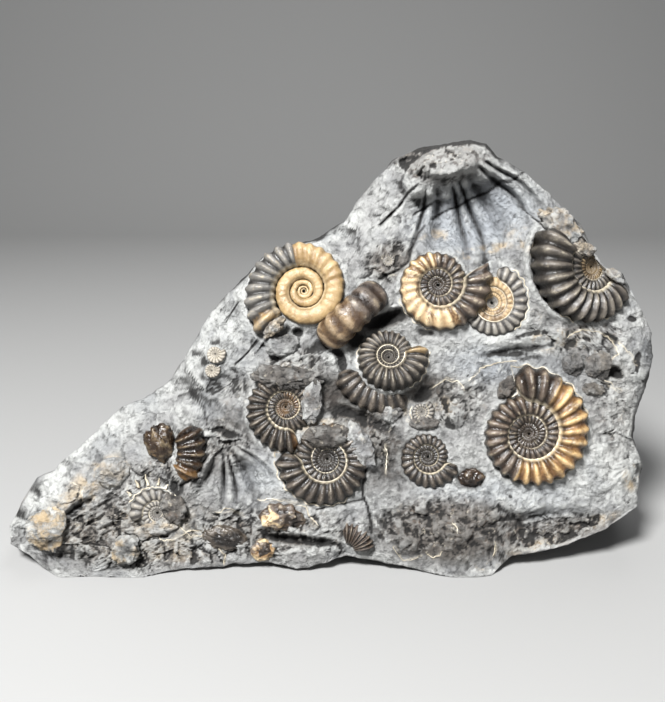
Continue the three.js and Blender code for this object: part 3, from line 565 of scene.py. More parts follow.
def smoothedGrid(grid, passes):
    for _ in range(passes):
        padded = np.pad(grid, 1, mode="edge")
        grid = (padded[1:-1, 1:-1] * 4 + padded[:-2, 1:-1] + padded[2:, 1:-1]
                + padded[1:-1, :-2] + padded[1:-1, 2:]) / 8
    return grid


# The stone body: a fine front sheet and a coarser back sheet that meet at the rim

def stonePlaces():
    columns, rows = slab["columns"], slab["rows"]
    a = np.linspace(0, 1, columns + 1)[:, None]
    b = np.linspace(0, 1, rows + 1)[None, :]
    left, right = slab["upperEdge"][0][0], slab["rightEdge"][0][0]
    across = mix(left, right, a)
    edge = slab["rightEdge"][::-1]
    edgeUp = mix(edge[0][1], edge[-1][1], b)
    bulge = heightOn([(p[1], p[0]) for p in edge], edgeUp) - right
    up = mix(heightOn(slab["lowerEdge"], across), heightOn(slab["upperEdge"], across), b)
    return across + bulge * a ** 6, up


def backFaces(backIndex):
    columns, rows, step = slab["columns"], slab["rows"], slab["backStep"]
    faces = []
    for column in range(0, columns, step):
        for row in range(0, rows, step):
            loop = []
            walk = [((column, row), (0, 1), column == 0),
                    ((column, row + step), (1, 0), row + step == rows),
                    ((column + step, row + step), (0, -1), column + step == columns),
                    ((column + step, row), (-1, 0), row == 0)]
            for (c, r), (dc, dr), onRim in walk:
                for k in range(0, step, 1 if onRim else step):
                    loop.append(backIndex(c + k * dc, r + k * dr))
            faces.append(loop)
    return faces


def floorDepthAt(up):
    # how deep a line of sight goes before it meets the floor
    lean, (_, footUp) = slab["lean"], slab["viewFoot"]
    return up * math.cos(lean) / (math.sin(lean) + (footUp - up) / slab["viewDistance"] * math.cos(lean))


def makeStone():
    across, up = stonePlaces()
    columns, rows, step = slab["columns"], slab["rows"], slab["backStep"]
    depth = detailedFront(across, up)
    # the foot of the face comes forward rather than go under the floor
    floorDepth = floorDepthAt(up)
    limit = np.where(floorDepth > 0, foot["faceShare"] * floorDepth, floorDepth)
    limit = np.maximum(limit, foot["faceLeast"])
    depth = np.where(up < foot["faceUpTo"], np.minimum(depth, limit), depth)
    points = place(across, up, depth).reshape(-1, 3)
    front = np.arange((columns + 1) * (rows + 1)).reshape(columns + 1, rows + 1)
    quads = np.stack([front[:-1, :-1], front[1:, :-1], front[1:, 1:], front[:-1, 1:]], axis=-1)
    faces = quads.reshape(-1, 4).tolist()
    coarseAcross, coarseUp = across[::step, ::step], up[::step, ::step]
    backDepth = plainBack(coarseAcross, coarseUp)
    backFloor = floorDepthAt(coarseUp)
    onFloor = (coarseUp < foot["backUpTo"]) & (backDepth > backFloor)
    backDepth = np.where(onFloor, np.maximum(backFloor, depth[::step, ::step] + foot["wall"]), backDepth)
    back = place(coarseAcross, coarseUp, backDepth)
    inner = back[1:-1, 1:-1].reshape(-1, 3)
    start = len(points)
    innerRows = rows // step - 1

    def backIndex(c, r):
        if c in (0, columns) or r in (0, rows):
            return int(front[c, r])
        return start + (c // step - 1) * innerRows + (r // step - 1)

    faces += backFaces(backIndex)
    mesh = bpy.data.meshes.new("matrix_stone")
    allPoints = np.vstack([points, inner])
    mesh.from_pydata(allPoints.tolist(), [], faces)
    mesh.update()
    normals = vectorsOf(mesh, "normal")
    millimetres = allPoints / millimetre
    onBack = np.zeros(len(allPoints))
    onBack[start:] = 1
    rise = 0.12 * layeredNoise(millimetres, 2.2, 3, 31)
    rise += onBack * (0.9 * layeredNoise(millimetres, 9, 4, 33)
                      + 0.5 * chippedFacets(millimetres[:, 0], millimetres[:, 2], 9, 35))
    edge = np.zeros((columns + 1, rows + 1))
    edge[[0, -1], :] = 1
    edge[:, [0, -1]] = 1
    rise[:start] += 0.25 * edge.ravel() * layeredNoise(millimetres[:start], 3, 3, 37)
    rise[start:] *= ~onFloor[1:-1, 1:-1].ravel()
    allPoints = allPoints + normals * rise[:, None] * millimetre
    low, high = np.array(cadBox[0]), np.array(cadBox[1])
    allPoints = np.clip(allPoints, low - [*boxMargin[:2], 0], high + boxMargin)
    paintStone(mesh, across, up, depth, start)
    smoothShade(mesh)
    setPoints(mesh, allPoints)
    return mesh


def paintStone(mesh, across, up, depth, start):
    # what the stone's material reads: hollows, stretches, cracks and calcite, one value a point; hollow
    # paints shade into hollows and a pale highlight onto ridges
    flatPoints = np.stack([across, up, np.zeros_like(across)], axis=-1)
    blur = layeredNoise(flatPoints, 6, 4, 41)
    wander = 0.5 * layeredNoise(flatPoints, 3, 2, 43)
    covers = {kind: coverOf(kind, across, up) for kind in ground}
    values = {kind: np.clip(cover + 0.35 * blur * cover, 0, 1) for kind, cover in covers.items()}
    values["calcite"] = lineMask(calciteLines, across + wander, up + wander)
    values["split"] = lineMask(cracks, across, up, 1.1)
    # hollow: depth past its blurred self, painted as shade in hollows and as highlight on ridges
    hollow = sum((depth - smoothedGrid(depth, passes)) * share
                 for passes, share in ((6, 1.9), (24, 0.9), (90, 0.45))) * (0.6 + 0.4 * covers["rough"])
    hollow = np.clip(hollow * (1 - 0.7 * mouldCover(across, up)), -1, 1)
    # painted shade in the recesses between the shells
    recessShade = np.zeros(across.shape)
    for *ellipse, _ in recesses:
        recessShade = np.maximum(recessShade, insideOf(across + wander, up + wander, *ellipse, 0.3))
    values["hollow"] = np.clip(hollow + 0.6 * recessShade, -1, 1)
    for name, grid in values.items():
        filled = np.full(len(mesh.vertices), 0.6 if name == "rough" else 0.0)
        filled[:start] = grid.ravel()
        addValues(mesh, name, filled)


# Shader node helpers and the effects that several materials share

def feed(tree, socket, value):
    # a number, a colour or a word sets a socket, and an output is linked to it
    if isinstance(value, (int, float, tuple, str)):
        socket.default_value = value
    elif value is not None:
        tree.links.new(value, socket)


def addNode(tree, kind, inputs=None, **settings):
    # inputs go by name or number, settings are the node's own
    node = tree.nodes.new(kind)
    for name, value in settings.items():
        setattr(node, name, value)
    for name, value in (inputs or {}).items():
        feed(tree, node.inputs[name], value)
    return node


def maths(tree, operation, a, b=None, clamp=False):
    return addNode(tree, "ShaderNodeMath", {0: a, 1: b}, operation=operation, use_clamp=clamp).outputs[0]


def mathsOf(tree):
    # add, subtract, multiply, power, least and most, each as a function that adds to the tree
    def adder(operation):
        return lambda a, b: maths(tree, operation, a, b)
    return [adder(kind) for kind in ("ADD", "SUBTRACT", "MULTIPLY", "POWER", "MINIMUM", "MAXIMUM")]


def mixColour(tree, share, a, b):
    return addNode(tree, "ShaderNodeMix", {6: a, 7: b, 0: share}, data_type="RGBA").outputs[2]


def readAttribute(tree, name):
    return addNode(tree, "ShaderNodeAttribute", attribute_name=name).outputs["Fac"]


def ramp(tree, source, low, high):
    inputs = {"Value": source, "From Min": low, "From Max": high}
    return addNode(tree, "ShaderNodeMapRange", inputs, interpolation_type="SMOOTHSTEP").outputs["Result"]


def objectPlace(tree):
    return addNode(tree, "ShaderNodeTexCoord").outputs["Object"]


def noiseNode(tree, scale, detail, rough, distort, where=None):
    inputs = {"Vector": objectPlace(tree) if where is None else where, "Scale": scale, "Detail": detail,
              "Roughness": rough, "Distortion": distort}
    return addNode(tree, "ShaderNodeTexNoise", inputs).outputs["Fac"]


def patches(tree, low, high, *noise):
    return ramp(tree, noiseNode(tree, *noise), low, high)


def colour(text):
    # sRGB hex to the linear colour that shaders take
    parts = [int(text[k:k + 2], 16) / 255 for k in (0, 2, 4)]
    linear = [c / 12.92 if c <= 0.04045 else ((c + 0.055) / 1.055) ** 2.4 for c in parts]
    return (*linear, 1.0)


socketKinds = {float: "NodeSocketFloat", int: "NodeSocketInt", tuple: "NodeSocketColor"}


def newTree(name, kind, inputs, outputs):
    # an input is given by its default value, or by its kind where it has none
    tree = bpy.data.node_groups.new(name, kind)
    for label, value in inputs.items():
        bare = isinstance(value, str)
        socketKind = "NodeSocket" + value if bare else socketKinds[type(value)]
        socket = tree.interface.new_socket(label, in_out="INPUT", socket_type=socketKind)
        if not bare:
            socket.default_value = value
    for label, value in outputs.items():
        tree.interface.new_socket(label, in_out="OUTPUT", socket_type="NodeSocket" + value)
    return tree, tree.nodes.new("NodeGroupInput").outputs, tree.nodes.new("NodeGroupOutput").inputs


def makeGrainGroup():
    # grain of the stone: a fine height, a speckle mask and soft mottling
    group, enter, leave = newTree("stoneGrain", "ShaderNodeTree", {"Grain Size": 1.0},
                                  {"Height": "Float", "Speckle": "Float", "Mottle": "Float"})
    scaled = addNode(group, "ShaderNodeVectorMath", {0: objectPlace(group), "Scale": enter["Grain Size"]},
                     operation="SCALE").outputs[0]
    fine, speckle, mottle = [noiseNode(group, *settings, 0.0, scaled)
                             for settings in ((900, 6, 0.7), (2600, 3, 0.6), (160, 5, 0.6))]
    cells = addNode(group, "ShaderNodeTexVoronoi", {"Vector": scaled, "Scale": 750.0, "Randomness": 1.0},
                    feature="F1").outputs["Distance"]
    feed(group, leave["Height"], maths(group, "ADD", fine, maths(group, "MULTIPLY", cells, 0.35)))
    feed(group, leave["Speckle"], ramp(group, speckle, 0.55, 0.72))
    feed(group, leave["Mottle"], mottle)
    return group


# painted shade that darkens the hollows towards the shade colour
def makeHollowShadeGroup():
    # dirt that lies in hollows and wears off crests
    group, enter, leave = newTree(
        "hollowShade", "ShaderNodeTree",
        {"Colour": (0.5, 0.5, 0.5, 1), "Shade Colour": (0.03, 0.025, 0.02, 1), "Hollow": 0.0, "Amount": 1.0},
        {"Colour": "Color"})
    share = maths(group, "MULTIPLY", ramp(group, enter["Hollow"], -0.02, 0.8), enter["Amount"], clamp=True)
    feed(group, leave["Colour"], mixColour(group, share, enter["Colour"], enter["Shade Colour"]))
    return group


def newMaterial(name):
    material = bpy.data.materials.new(name)
    material.use_nodes = True
    tree = material.node_tree
    shader = tree.nodes["Principled BSDF"]
    return material, tree, shader


def finishShader(tree, shader, base, roughness, height, strength, distance):
    bump = addNode(tree, "ShaderNodeBump", {"Strength": strength, "Distance": distance, "Height": height})
    feed(tree, shader.inputs["Base Color"], base)
    feed(tree, shader.inputs["Roughness"], roughness)
    feed(tree, shader.inputs["Normal"], bump.outputs["Normal"])


def useGroup(tree, group, inputs):
    # the group is set first, because its sockets come with it
    node = addNode(tree, "ShaderNodeGroup", node_tree=group)
    for name, value in inputs.items():
        feed(tree, node.inputs[name], value)
    return node.outputs


def layered(tree, base, layers):
    # each layer is a mask, how strong it is and its colour
    for mask, share, tone in layers:
        base = mixColour(tree, maths(tree, "MULTIPLY", mask, share), base, tone)
    return base


# the near-black tone serves cracks and dark specks, and is the painted shade colour in the hollows
stoneLook = {
    "mid": "7f7f7e", "pale": "b0b1ae", "blue": "848a91", "slate": "5a5d61", "drab": "3c3833",
    "warm": "ab9777", "dark": "322d29", "dirtAndShade": "0f0d0b", "calcite": "d2c9b6", "brown": "574637",
    "crumb": "5c5752"}


def makeStoneMaterial(grainGroup, hollowShadeGroup):
    tone = {name: colour(text) for name, text in stoneLook.items()}
    material, tree, shader = newMaterial("mudstone")
    plus, minus, times, *_ = mathsOf(tree)
    grain = useGroup(tree, grainGroup, {"Grain Size": 1.0})
    pale, blue, warm, dark, rough, hollow, calcite, split = [
        readAttribute(tree, name)
        for name in ("pale", "blue", "warm", "dark", "rough", "hollow", "calcite", "split")]
    # crest paints a pale highlight on ridges, where the hollow value falls below zero
    crest = ramp(tree, times(hollow, -1.0), 0.05, 0.6)
    base = layered(tree, tone["mid"], [
        (ramp(tree, grain["Mottle"], 0.35, 0.66), 0.4, tone["pale"]),
        (pale, 0.85, tone["pale"]),
        (blue, 0.6, tone["blue"]),
        (patches(tree, 0.44, 0.68, 75, 6, 0.62, 0.4), 0.55, tone["slate"]),
        (patches(tree, 0.42, 0.62, 240, 6, 0.65, 0.4), warm, tone["warm"]),
        (dark, 0.85, tone["drab"]),
        (patches(tree, 0.36, 0.6, 310, 6, 0.65, 0.3), dark, tone["dark"]),
        (times(rough, patches(tree, 0.3, 0.55, 90, 5, 0.6, 0.5)), 0.75, tone["crumb"]),
        (times(rough, patches(tree, 0.6, 0.67, 620, 4, 0.6, 0.6)), 0.35, tone["calcite"]),
        (times(rough, patches(tree, 0.56, 0.7, 430, 5, 0.6, 0.5)), 0.6, tone["brown"]),
        (grain["Speckle"], 0.35, tone["dark"]),
        (patches(tree, 0.42, 0.3, 480, 6, 0.7, 0.5), 0.5, tone["dirtAndShade"]),
        (crest, minus(0.5, times(dark, 0.36)), tone["pale"])])
    # painted shade in the hollows of the stone
    shaded = useGroup(tree, hollowShadeGroup, {
        "Colour": base, "Shade Colour": tone["dirtAndShade"], "Hollow": hollow, "Amount": 0.95})
    base = layered(tree, shaded["Colour"], [(calcite, 0.35, tone["calcite"]), (split, 1.0, tone["dirtAndShade"])])
    chips = addNode(tree, "ShaderNodeTexVoronoi", feature="F1", distance="CHEBYCHEV",
                    inputs={"Vector": objectPlace(tree), "Scale": 620.0, "Randomness": 1.0})
    height = plus(grain["Height"], times(chips.outputs["Distance"], 0.5))
    height = plus(height, times(patches(tree, 0.25, 0.5, 480, 6, 0.7, 0.5), 0.7))
    finishShader(tree, shader, base, 0.82, height, 1.0, 0.0011)
    return material


def makeShellMaterial(name, look, grainGroup):
    # shell: grooves darker than crests as painted shade and crests lighter as painted highlight, gold or
    # cream where the attribute says, calcite dust, and painted shade where the shade attribute says
    material, tree, shader = newMaterial(name)
    plus, minus, times, *_ = mathsOf(tree)
    tone = dict(zip(toneNames, map(colour, look["tones"].split())))
    rib, gold, seam, shade = [readAttribute(tree, kind) for kind in ("rib", "gold", "seam", "shade")]
    cloud = patches(tree, 0.35, 0.65, 260, 5, 0.6, 0.5)
    groove, crest, goldDeep = [mixColour(tree, cloud, tone[first], tone[second]) for first, second in (
        ("groove", "grooveLight"), ("crest", "crestLight"), ("goldDeep", "goldMid"))]
    # rib valleys take the dark groove and gold-deep tones, crests the lighter ones: painted shade in the
    # grooves, painted highlight on the crests
    dull = mixColour(tree, ramp(tree, rib, 0.0, 0.7), groove, crest)
    goldTone = mixColour(tree, ramp(tree, rib, 0.05, 1.0), goldDeep, tone["goldLight"])
    veins = times(patches(tree, 0.485, 0.5, 330, 3, 0.5, 1.5), patches(tree, 0.515, 0.5, 330, 3, 0.5, 1.5))
    goldTone = layered(tree, goldTone, [
        (patches(tree, 0.49, 0.6, 190, 7, 0.7, 0.8), look.get("blotch", 0.6), tone["goldDeep"]),
        (veins, 0.5, tone["goldDeep"])])
    edge = plus(gold, times(minus(noiseNode(tree, 330, 5, 0.6, 0.3), 0.5), 0.9))
    base = mixColour(tree, ramp(tree, edge, 0.35, 0.65), dull, goldTone)
    dust = times(patches(tree, 0.56, 0.7, 700, 5, 0.65, 0.4), look["dust"])
    worn = times(ramp(tree, rib, 0.72, 1.0), patches(tree, 0.47, 0.64, 420, 5, 0.65, 0.3))
    # the shade value mixes in the groove tone as painted shade
    base = layered(tree, base, [
        (dust, ramp(tree, rib, 0.1, 0.7), tone["dustTone"]), (worn, 0.35, tone["dustTone"]),
        (seam, look["seam"], colour("d8ccb2")), (shade, 1.0, tone["groove"])])
    roughness = plus(times(patches(tree, 0.4, 0.62, 900, 4, 0.6, 0.2), 0.28), look["gloss"])
    grain = useGroup(tree, grainGroup, {"Grain Size": 1.0})
    dents = plus(grain["Height"], times(noiseNode(tree, 420, 4, 0.6, 0.2), 1.6))
    finishShader(tree, shader, base, roughness, dents, 0.5, 0.0004)
    return material


def makeCalciteMaterial(grainGroup):
    material, tree, shader = newMaterial("calcite")
    grain = useGroup(tree, grainGroup, {"Grain Size": 1.0})
    base = layered(tree, colour("9f9683"), [
        (ramp(tree, grain["Mottle"], 0.4, 0.6), 1.0, colour("c9c1b0")),
        (patches(tree, 0.56, 0.66, 500, 4, 0.6, 0.3), 1.0, colour("8d8271"))])
    finishShader(tree, shader, base, 0.6, grain["Height"], 0.3, 0.0002)
    return material


# the groove tones are painted shade for the rib valleys; goldLight is a painted highlight on the gold crests
toneNames = ("groove", "grooveLight", "crest", "crestLight", "goldDeep", "goldMid", "goldLight",
             "dustTone")
shellLooks = {
    "dark": dict(tones="090706 171310 2e2924 4a433c 2c1d10 523a23 7d6242 a09686",
                 dust=0.3, seam=0.5, gloss=0.24),
    "grey": dict(tones="1f1c1a 302d2a 575450 77736c 4d3a26 77603f a08a68 b5ab9a",
                 dust=0.4, seam=0.5, gloss=0.4, blotch=0.8),
    "gold": dict(tones="0d0906 20160f 3a3029 5e5349 3e2917 755736 ad9065 c2b69c",
                 dust=0.4, seam=0.6, gloss=0.2, blotch=0.7),
    "yellow": dict(tones="171513 2c2a28 4f4d4a 716e69 685131 836b46 957f5b a89b82",
                   dust=0.5, seam=0.25, gloss=0.32, blotch=0.55),
    "ivory": dict(tones="0d0906 231a13 382e27 5c5147 4e3720 8a7050 b7a381 cdc1a6",
                  dust=0.45, seam=0.45, gloss=0.28, blotch=1.0),
    "slate": dict(tones="0f0c0a 201c18 403b36 605a52 3c2e1e 665437 8f7b5c aba28f",
                  dust=0.4, seam=0.4, gloss=0.3),
    "amber": dict(tones="140d09 261c15 38302a 534a43 35261a 574531 7d6b54 9c8f7a",
                  dust=0.3, seam=0.3, gloss=0.24, blotch=0.8),
    "glossy": dict(tones="090503 150c06 1b120b 302318 2c1c0d 4e371c 765a37 8a7a60",
                   dust=0.15, seam=0.2, gloss=0.14),
    "cream": dict(tones="514b41 69635a 807a70 9b958a 665e4f 7f7665 a0977f c8c2b4",
                  dust=0.6, seam=0.3, gloss=0.6),
}


# Geometry Nodes: the coiled ribbed shell, and a thread of calcite along a path

def makeShellTree():
    # a ribbed tube wound on a spiral that widens by Growth in a turn
    tree, enter, leave = newTree("ribbedShell", "GeometryNodeTree", {
        "Radius": 0.01, "Growth": 1.8, "Turns": 3.0, "Mouth": 0.0, "Hand": 1.0, "Ribs": 24.0,
        "Rib Height": 0.12, "Rib Lean": 0.5, "Thickness": 0.95, "Inner Share": 0.47, "Crowding": 1.5,
        "Lip Shift": 0.0, "Steps": 500, "Sides": 24, "Material": "Material"}, {"Geometry": "Geometry"})
    plus, minus, times, power, least, most = mathsOf(tree)
    grid = addNode(tree, "GeometryNodeMeshGrid", {"Vertices X": enter["Steps"], "Vertices Y": enter["Sides"]})
    where = addNode(tree, "GeometryNodeInputPosition").outputs[0]
    parts = addNode(tree, "ShaderNodeSeparateXYZ", {0: where}).outputs
    along, aroundShare = plus(parts[0], 0.5), plus(parts[1], 0.5)
    behind = times(power(most(minus(1.0, along), 0.0), enter["Crowding"]), enter["Turns"])
    outer = times(enter["Radius"], power(enter["Growth"], times(behind, -1.0)))
    inner = times(outer, enter["Inner Share"])
    middle, half = times(plus(outer, inner), 0.5), times(minus(outer, inner), 0.5)
    # the ends close to a point behind a rounded lip
    lip = least(times(behind, 40.0), 1.0)
    tail = least(times(times(along, enter["Turns"]), 30.0), 1.0)
    closing = power(most(minus(times(lip, tail), 0.0005), 0.0), 0.4)
    middle = plus(middle, times(times(half, minus(1.0, closing)), enter["Lip Shift"]))
    half = times(half, closing)
    around = times(aroundShare, fullTurn)
    upward = maths(tree, "SINE", around)
    outward = times(maths(tree, "COSINE", around), plus(times(times(upward, upward), 0.3), 1.0))
    turnAngle = times(behind, fullTurn)
    phase = plus(times(turnAngle, enter["Ribs"]), times(outward, enter["Rib Lean"]))
    wave = plus(times(maths(tree, "COSINE", phase), 0.5), 0.5)
    rib = power(most(wave, 0.0), 1.15)
    # ribs are strong on the flank and the shoulder and die out against the whorl inside
    reach = least(most(times(plus(outward, 1.25), 0.8), 0.0), 1.0)
    swell = plus(times(times(minus(rib, 0.5), enter["Rib Height"]), times(reach, 2.0)), 1.0)
    bar = times(half, swell)
    radial = plus(middle, times(bar, outward))
    height = times(times(bar, upward), enter["Thickness"])
    angle = minus(enter["Mouth"], times(turnAngle, enter["Hand"]))
    flatX, flatY = [times(radial, maths(tree, kind, angle)) for kind in ("COSINE", "SINE")]
    spot = addNode(tree, "ShaderNodeCombineXYZ", {0: flatX, 1: flatY, 2: height})
    stored = grid.outputs["Mesh"]
    for name, value in (("rib", rib), ("outward", outward), ("upward", upward), ("behind", behind)):
        stored = addNode(tree, "GeometryNodeStoreNamedAttribute", data_type="FLOAT", domain="POINT",
                         inputs={"Geometry": stored, "Name": name, "Value": value}).outputs["Geometry"]
    shaped = addNode(tree, "GeometryNodeSetPosition", {"Geometry": stored, "Position": spot.outputs[0]})
    merged = addNode(tree, "GeometryNodeMergeByDistance",
                     {"Geometry": shaped.outputs["Geometry"], "Distance": 1e-6})
    finishTree(tree, merged.outputs["Geometry"], enter["Material"], leave)
    return tree


def finishTree(tree, geometry, material, leave):
    for kind in ("GeometryNodeSetShadeSmooth", "GeometryNodeRealizeInstances", "GeometryNodeSetMaterial"):
        node = addNode(tree, kind, {"Geometry": geometry})
        geometry = node.outputs["Geometry"]
    feed(tree, node.inputs["Material"], material)
    feed(tree, leave["Geometry"], geometry)


def makeThreadTree():
    # a closed round thread along a path of edges, as thick as the point attribute "thick" says
    inputs = {"Geometry": "Geometry", "Radius": 0.0003, "Sides": 6, "Material": "Material"}
    tree, enter, leave = newTree("calciteThread", "GeometryNodeTree", inputs, {"Geometry": "Geometry"})
    curve = addNode(tree, "GeometryNodeMeshToCurve", {"Mesh": enter["Geometry"]})
    thick = addNode(tree, "GeometryNodeInputNamedAttribute", {"Name": "thick"}, data_type="FLOAT")
    size = maths(tree, "MULTIPLY", thick.outputs["Attribute"], enter["Radius"])
    ring = addNode(tree, "GeometryNodeCurvePrimitiveCircle", {"Radius": 1.0, "Resolution": enter["Sides"]})
    sweep = addNode(tree, "GeometryNodeCurveToMesh", {
        "Fill Caps": True, "Curve": curve.outputs["Curve"], "Scale": size,
        "Profile Curve": ring.outputs["Curve"]})
    finishTree(tree, sweep.outputs["Mesh"], enter["Material"], leave)
    return tree


def newObject(name, data):
    made = bpy.data.objects.new(name, data)
    bpy.context.scene.collection.objects.link(made)
    return made


def runTree(name, tree, values, startMesh=None):
    # puts the tree on an object, sets its inputs by identifier and returns the plain mesh it makes
    holder = newObject(name, startMesh or bpy.data.meshes.new(name))
    modifier = holder.modifiers.new("shape", "NODES")
    modifier.node_group = tree
    for item in tree.interface.items_tree:
        if item.item_type == "SOCKET" and item.in_out == "INPUT" and item.name in values:
            modifier[item.identifier] = values[item.name]
    holder.update_tag()
    depsgraph = bpy.context.evaluated_depsgraph_get()
    mesh = bpy.data.meshes.new_from_object(holder.evaluated_get(depsgraph))
    bpy.data.objects.remove(holder)
    return mesh


def vectorsOf(mesh, kind="co"):
    flat = np.zeros(len(mesh.vertices) * 3)
    mesh.vertices.foreach_get(kind, flat)
    return flat.reshape(-1, 3)


def setPoints(mesh, points):
    mesh.vertices.foreach_set("co", np.ascontiguousarray(points).ravel())
    mesh.update()


def valuesOf(mesh, name):
    values = np.zeros(len(mesh.vertices))
    mesh.attributes[name].data.foreach_get("value", values)
    return values


def addValues(mesh, name, values):
    # one number a point, or the same number everywhere
    attribute = mesh.attributes.get(name) or mesh.attributes.new(name, "FLOAT", "POINT")
    filled = np.zeros(len(mesh.vertices), dtype=np.float32) + values
    attribute.data.foreach_set("value", filled.astype(np.float32))


def smoothShade(mesh):
    mesh.polygons.foreach_set("use_smooth", np.ones(len(mesh.polygons), dtype=bool))


def seatMatrix(seat):
    # right, up and out of the stone at a seat, with its tilt
    lean = slab["lean"]
    frameAxes = Matrix(((1, 0, 0), (0, math.sin(lean), -math.cos(lean)), (0, math.cos(lean), math.sin(lean))))
    tilt = (Matrix.Rotation(math.radians(-seat.get("turnUp", 0)), 3, "X")
            @ Matrix.Rotation(math.radians(seat.get("turnRight", 0)), 3, "Y"))
    turned = (frameAxes @ tilt).to_4x4()
    turned.translation = spotAt(seat["at"], seat["depth"])
    return turned


def moved(points, matrix):
    grid = np.array(matrix)
    return points @ grid[:3, :3].T + grid[:3, 3]


# Where ribs are worn nearly smooth: [from angle, to angle, from turn behind the mouth, to turn, how much]
smoothOn = {
    "ammonite_yellow": [[-180, 180, 0.6, 6, 0.85], [-70, 100, -0.1, 0.6, 0.55]],
    "ammonite_beside_horned": [[-180, 180, 0.8, 6, 0.6]],
    "ammonite_horned": [[150, 290, -0.1, 0.9, 0.45]],
}
# Where the white rim of the bed shows round a shell: [from angle, to angle]
rimOn = {
    "ammonite_great_gold": [[-60, 118]],
    "ammonite_low_centre": [[-178, -62], [150, 178]],
    "ammonite_beside_horned": [[-50, 60]],
    "ammonite_horned": [[200, 262]],
    "ammonite_centre": [[-58, 8], [150, 200]],
    "ammonite_right_edge": [[188, 250], [275, 312]],
    "ammonite_lower_left": [[20, 160]],
    "coil_among_ribs": [[150, 260]],
}
# Where gold or cream shows on a shell: [from angle, to angle, from turn behind the mouth, to turn]
goldOn = {
    "ammonite_great_gold": [[-110, 62, -0.1, 0.72]],
    "ammonite_yellow": [[-130, 103, 0.33, 0.8], [-180, 180, 0.66, 6], [206, 236, -0.1, 0.12, 0.45]],
    "ammonite_horned": [[95, 300, -0.1, 0.9]],
    "ammonite_beside_horned": [[-180, 180, 0.8, 4]],
    "ammonite_centre": [[0, 40, 0, 0.3]],
    "ammonite_left_centre": [[-180, 180, 1.5, 6, 0.5], [278, 290, -0.1, 0.03]],
    "ammonite_right_edge": [[-180, 180, 1.8, 6, 0.6]],
    "ammonite_low_centre": [[60, 110, 0.2, 1.2, 0.6]],
}
coilLooks = {
    "ammonite_great_gold": "gold", "ammonite_yellow": "yellow", "ammonite_centre": "slate",
    "ammonite_left_centre": "dark", "ammonite_low_centre": "dark", "ammonite_small_dark": "dark",
    "ammonite_horned": "ivory", "ammonite_beside_horned": "grey", "ammonite_right_edge": "slate",
    "ammonite_lower_left": "grey", "coil_among_ribs": "grey", "coil_cream_upper": "cream",
    "coil_cream_lower": "cream", "coil_tiny": "grey",
}


def shareOn(stretches, angles, behind):
    share = np.zeros(len(angles))
    for low, high, near, far, *much in stretches:
        middle, halfSpan = (low + high) / 2, (high - low) / 2
        off = np.abs((np.degrees(angles) - middle + 180) % 360 - 180)
        inside = 1 - smooth(halfSpan - 6, halfSpan + 6, off) if halfSpan < 180 else 1.0
        share = np.maximum(share, (much[0] if much else 1) * inside * smooth(near - 0.03, near + 0.03, behind)
                           * (1 - smooth(far - 0.03, far + 0.03, behind)))
    return share


def threadMesh(name, paths, tree, material, radius):
    # paths are arrays of points with a thickness in the fourth column
    start = bpy.data.meshes.new(name + "_path")
    points, edges = [], []
    for path in paths:
        first = len(points)
        points += path[:, :3].tolist()
        edges += [(first + k, first + k + 1) for k in range(len(path) - 1)]
    start.from_pydata(points, edges, [])
    addValues(start, "thick", np.concatenate([path[:, 3] for path in paths]))
    return runTree(name, tree, {"Radius": radius * millimetre, "Sides": 6, "Material": material}, start)


def seamPath(coil):
    # the cream line along the seam between whorls, in the coil's own frame
    share, growth = coil.get("seam", 0.47), coil["growth"]
    turns = max(min(math.log(coil["radius"] / 1.4) / math.log(growth) - 1, 1.9), 0.6)
    behind = np.linspace(0.04, turns, int(90 * turns))
    outer = coil["radius"] * growth ** -behind
    lower = outer / growth
    middle, half = lower * (1 + share) / 2, lower * (1 - share) / 2
    reach = outer * (share + 0.035)
    inside = np.clip(1 - ((reach - middle) / (half * 1.05)) ** 2, 0.05, 1)
    height = 1.1 * coil["thick"] * half * np.sqrt(inside) + 0.012 * outer
    angle = math.radians(coil["mouth"]) - coil.get("hand", 1) * behind * fullTurn
    jitter = 0.04 * layeredNoise(np.stack([behind * 9, behind * 0, behind * 0], axis=-1), 0.4, 2, 5)
    thickness = (0.75 + 0.5 * jitter / 0.04) * np.minimum(1, outer / 9)
    thickness = thickness * (1 - 0.45 * smooth(0.9, 1.6, behind))
    return np.stack([(reach + jitter) * np.cos(angle), (reach + jitter) * np.sin(angle),
                     height, np.clip(thickness, 0.35, 1.3)], axis=-1)


def onStone(target, surface, lift):
    # where the line of sight to a place meets the stone, raised a little off it
    eye = eyeSpot()
    spot, normal, *_ = surface.ray_cast(eye, (target - eye).normalized())
    return None if spot is None else spot + normal * lift


def linePaths(lines, surface):
    # curly lines of calcite, laid on the stone, that swell and thin out
    paths = []
    for number, line in enumerate(lines):
        chain = np.array(line["path"], dtype=float)
        steps = np.concatenate([[0], np.cumsum(np.hypot(*np.diff(chain, axis=0).T))])
        along = np.arange(0, steps[-1], 0.22)
        across, up = np.interp(along, steps, chain[:, 0]), np.interp(along, steps, chain[:, 1])
        spots = np.stack([along, along * 0 + number, along * 0], axis=-1)
        across = across + 0.4 * layeredNoise(spots, 1.9, 3, 61, 0.6)
        up = up + 0.4 * layeredNoise(spots, 1.9, 3, 62, 0.6)
        swell = np.clip(0.8 + 0.7 * layeredNoise(spots, 2.5, 2, 63), 0.15, 1.6)
        swell = swell * np.minimum(1, np.minimum(along, steps[-1] - along) / 0.8 + 0.2)
        path = []
        for u, v, thick in zip(across, up, swell):
            spot = onStone(spotAt((u, v)), surface, threadLift["lines"])
            if spot is not None:
                path.append([*spot, thick * line["width"] / 0.2])
        if len(path) > 3:
            paths.append(np.array(path))
    return paths


def spikePaths(surface):
    # pointed white bits of shell over the lower-left coil
    return [np.array([[*onStone(spotAt((u + du * t, v + dv * t)), surface, threadLift["spikes"]),
                       thick * (1 - t) ** 0.8 + 0.1] for t in np.linspace(0, 1, 6)])
            for u, v, du, dv, thick in spikes]


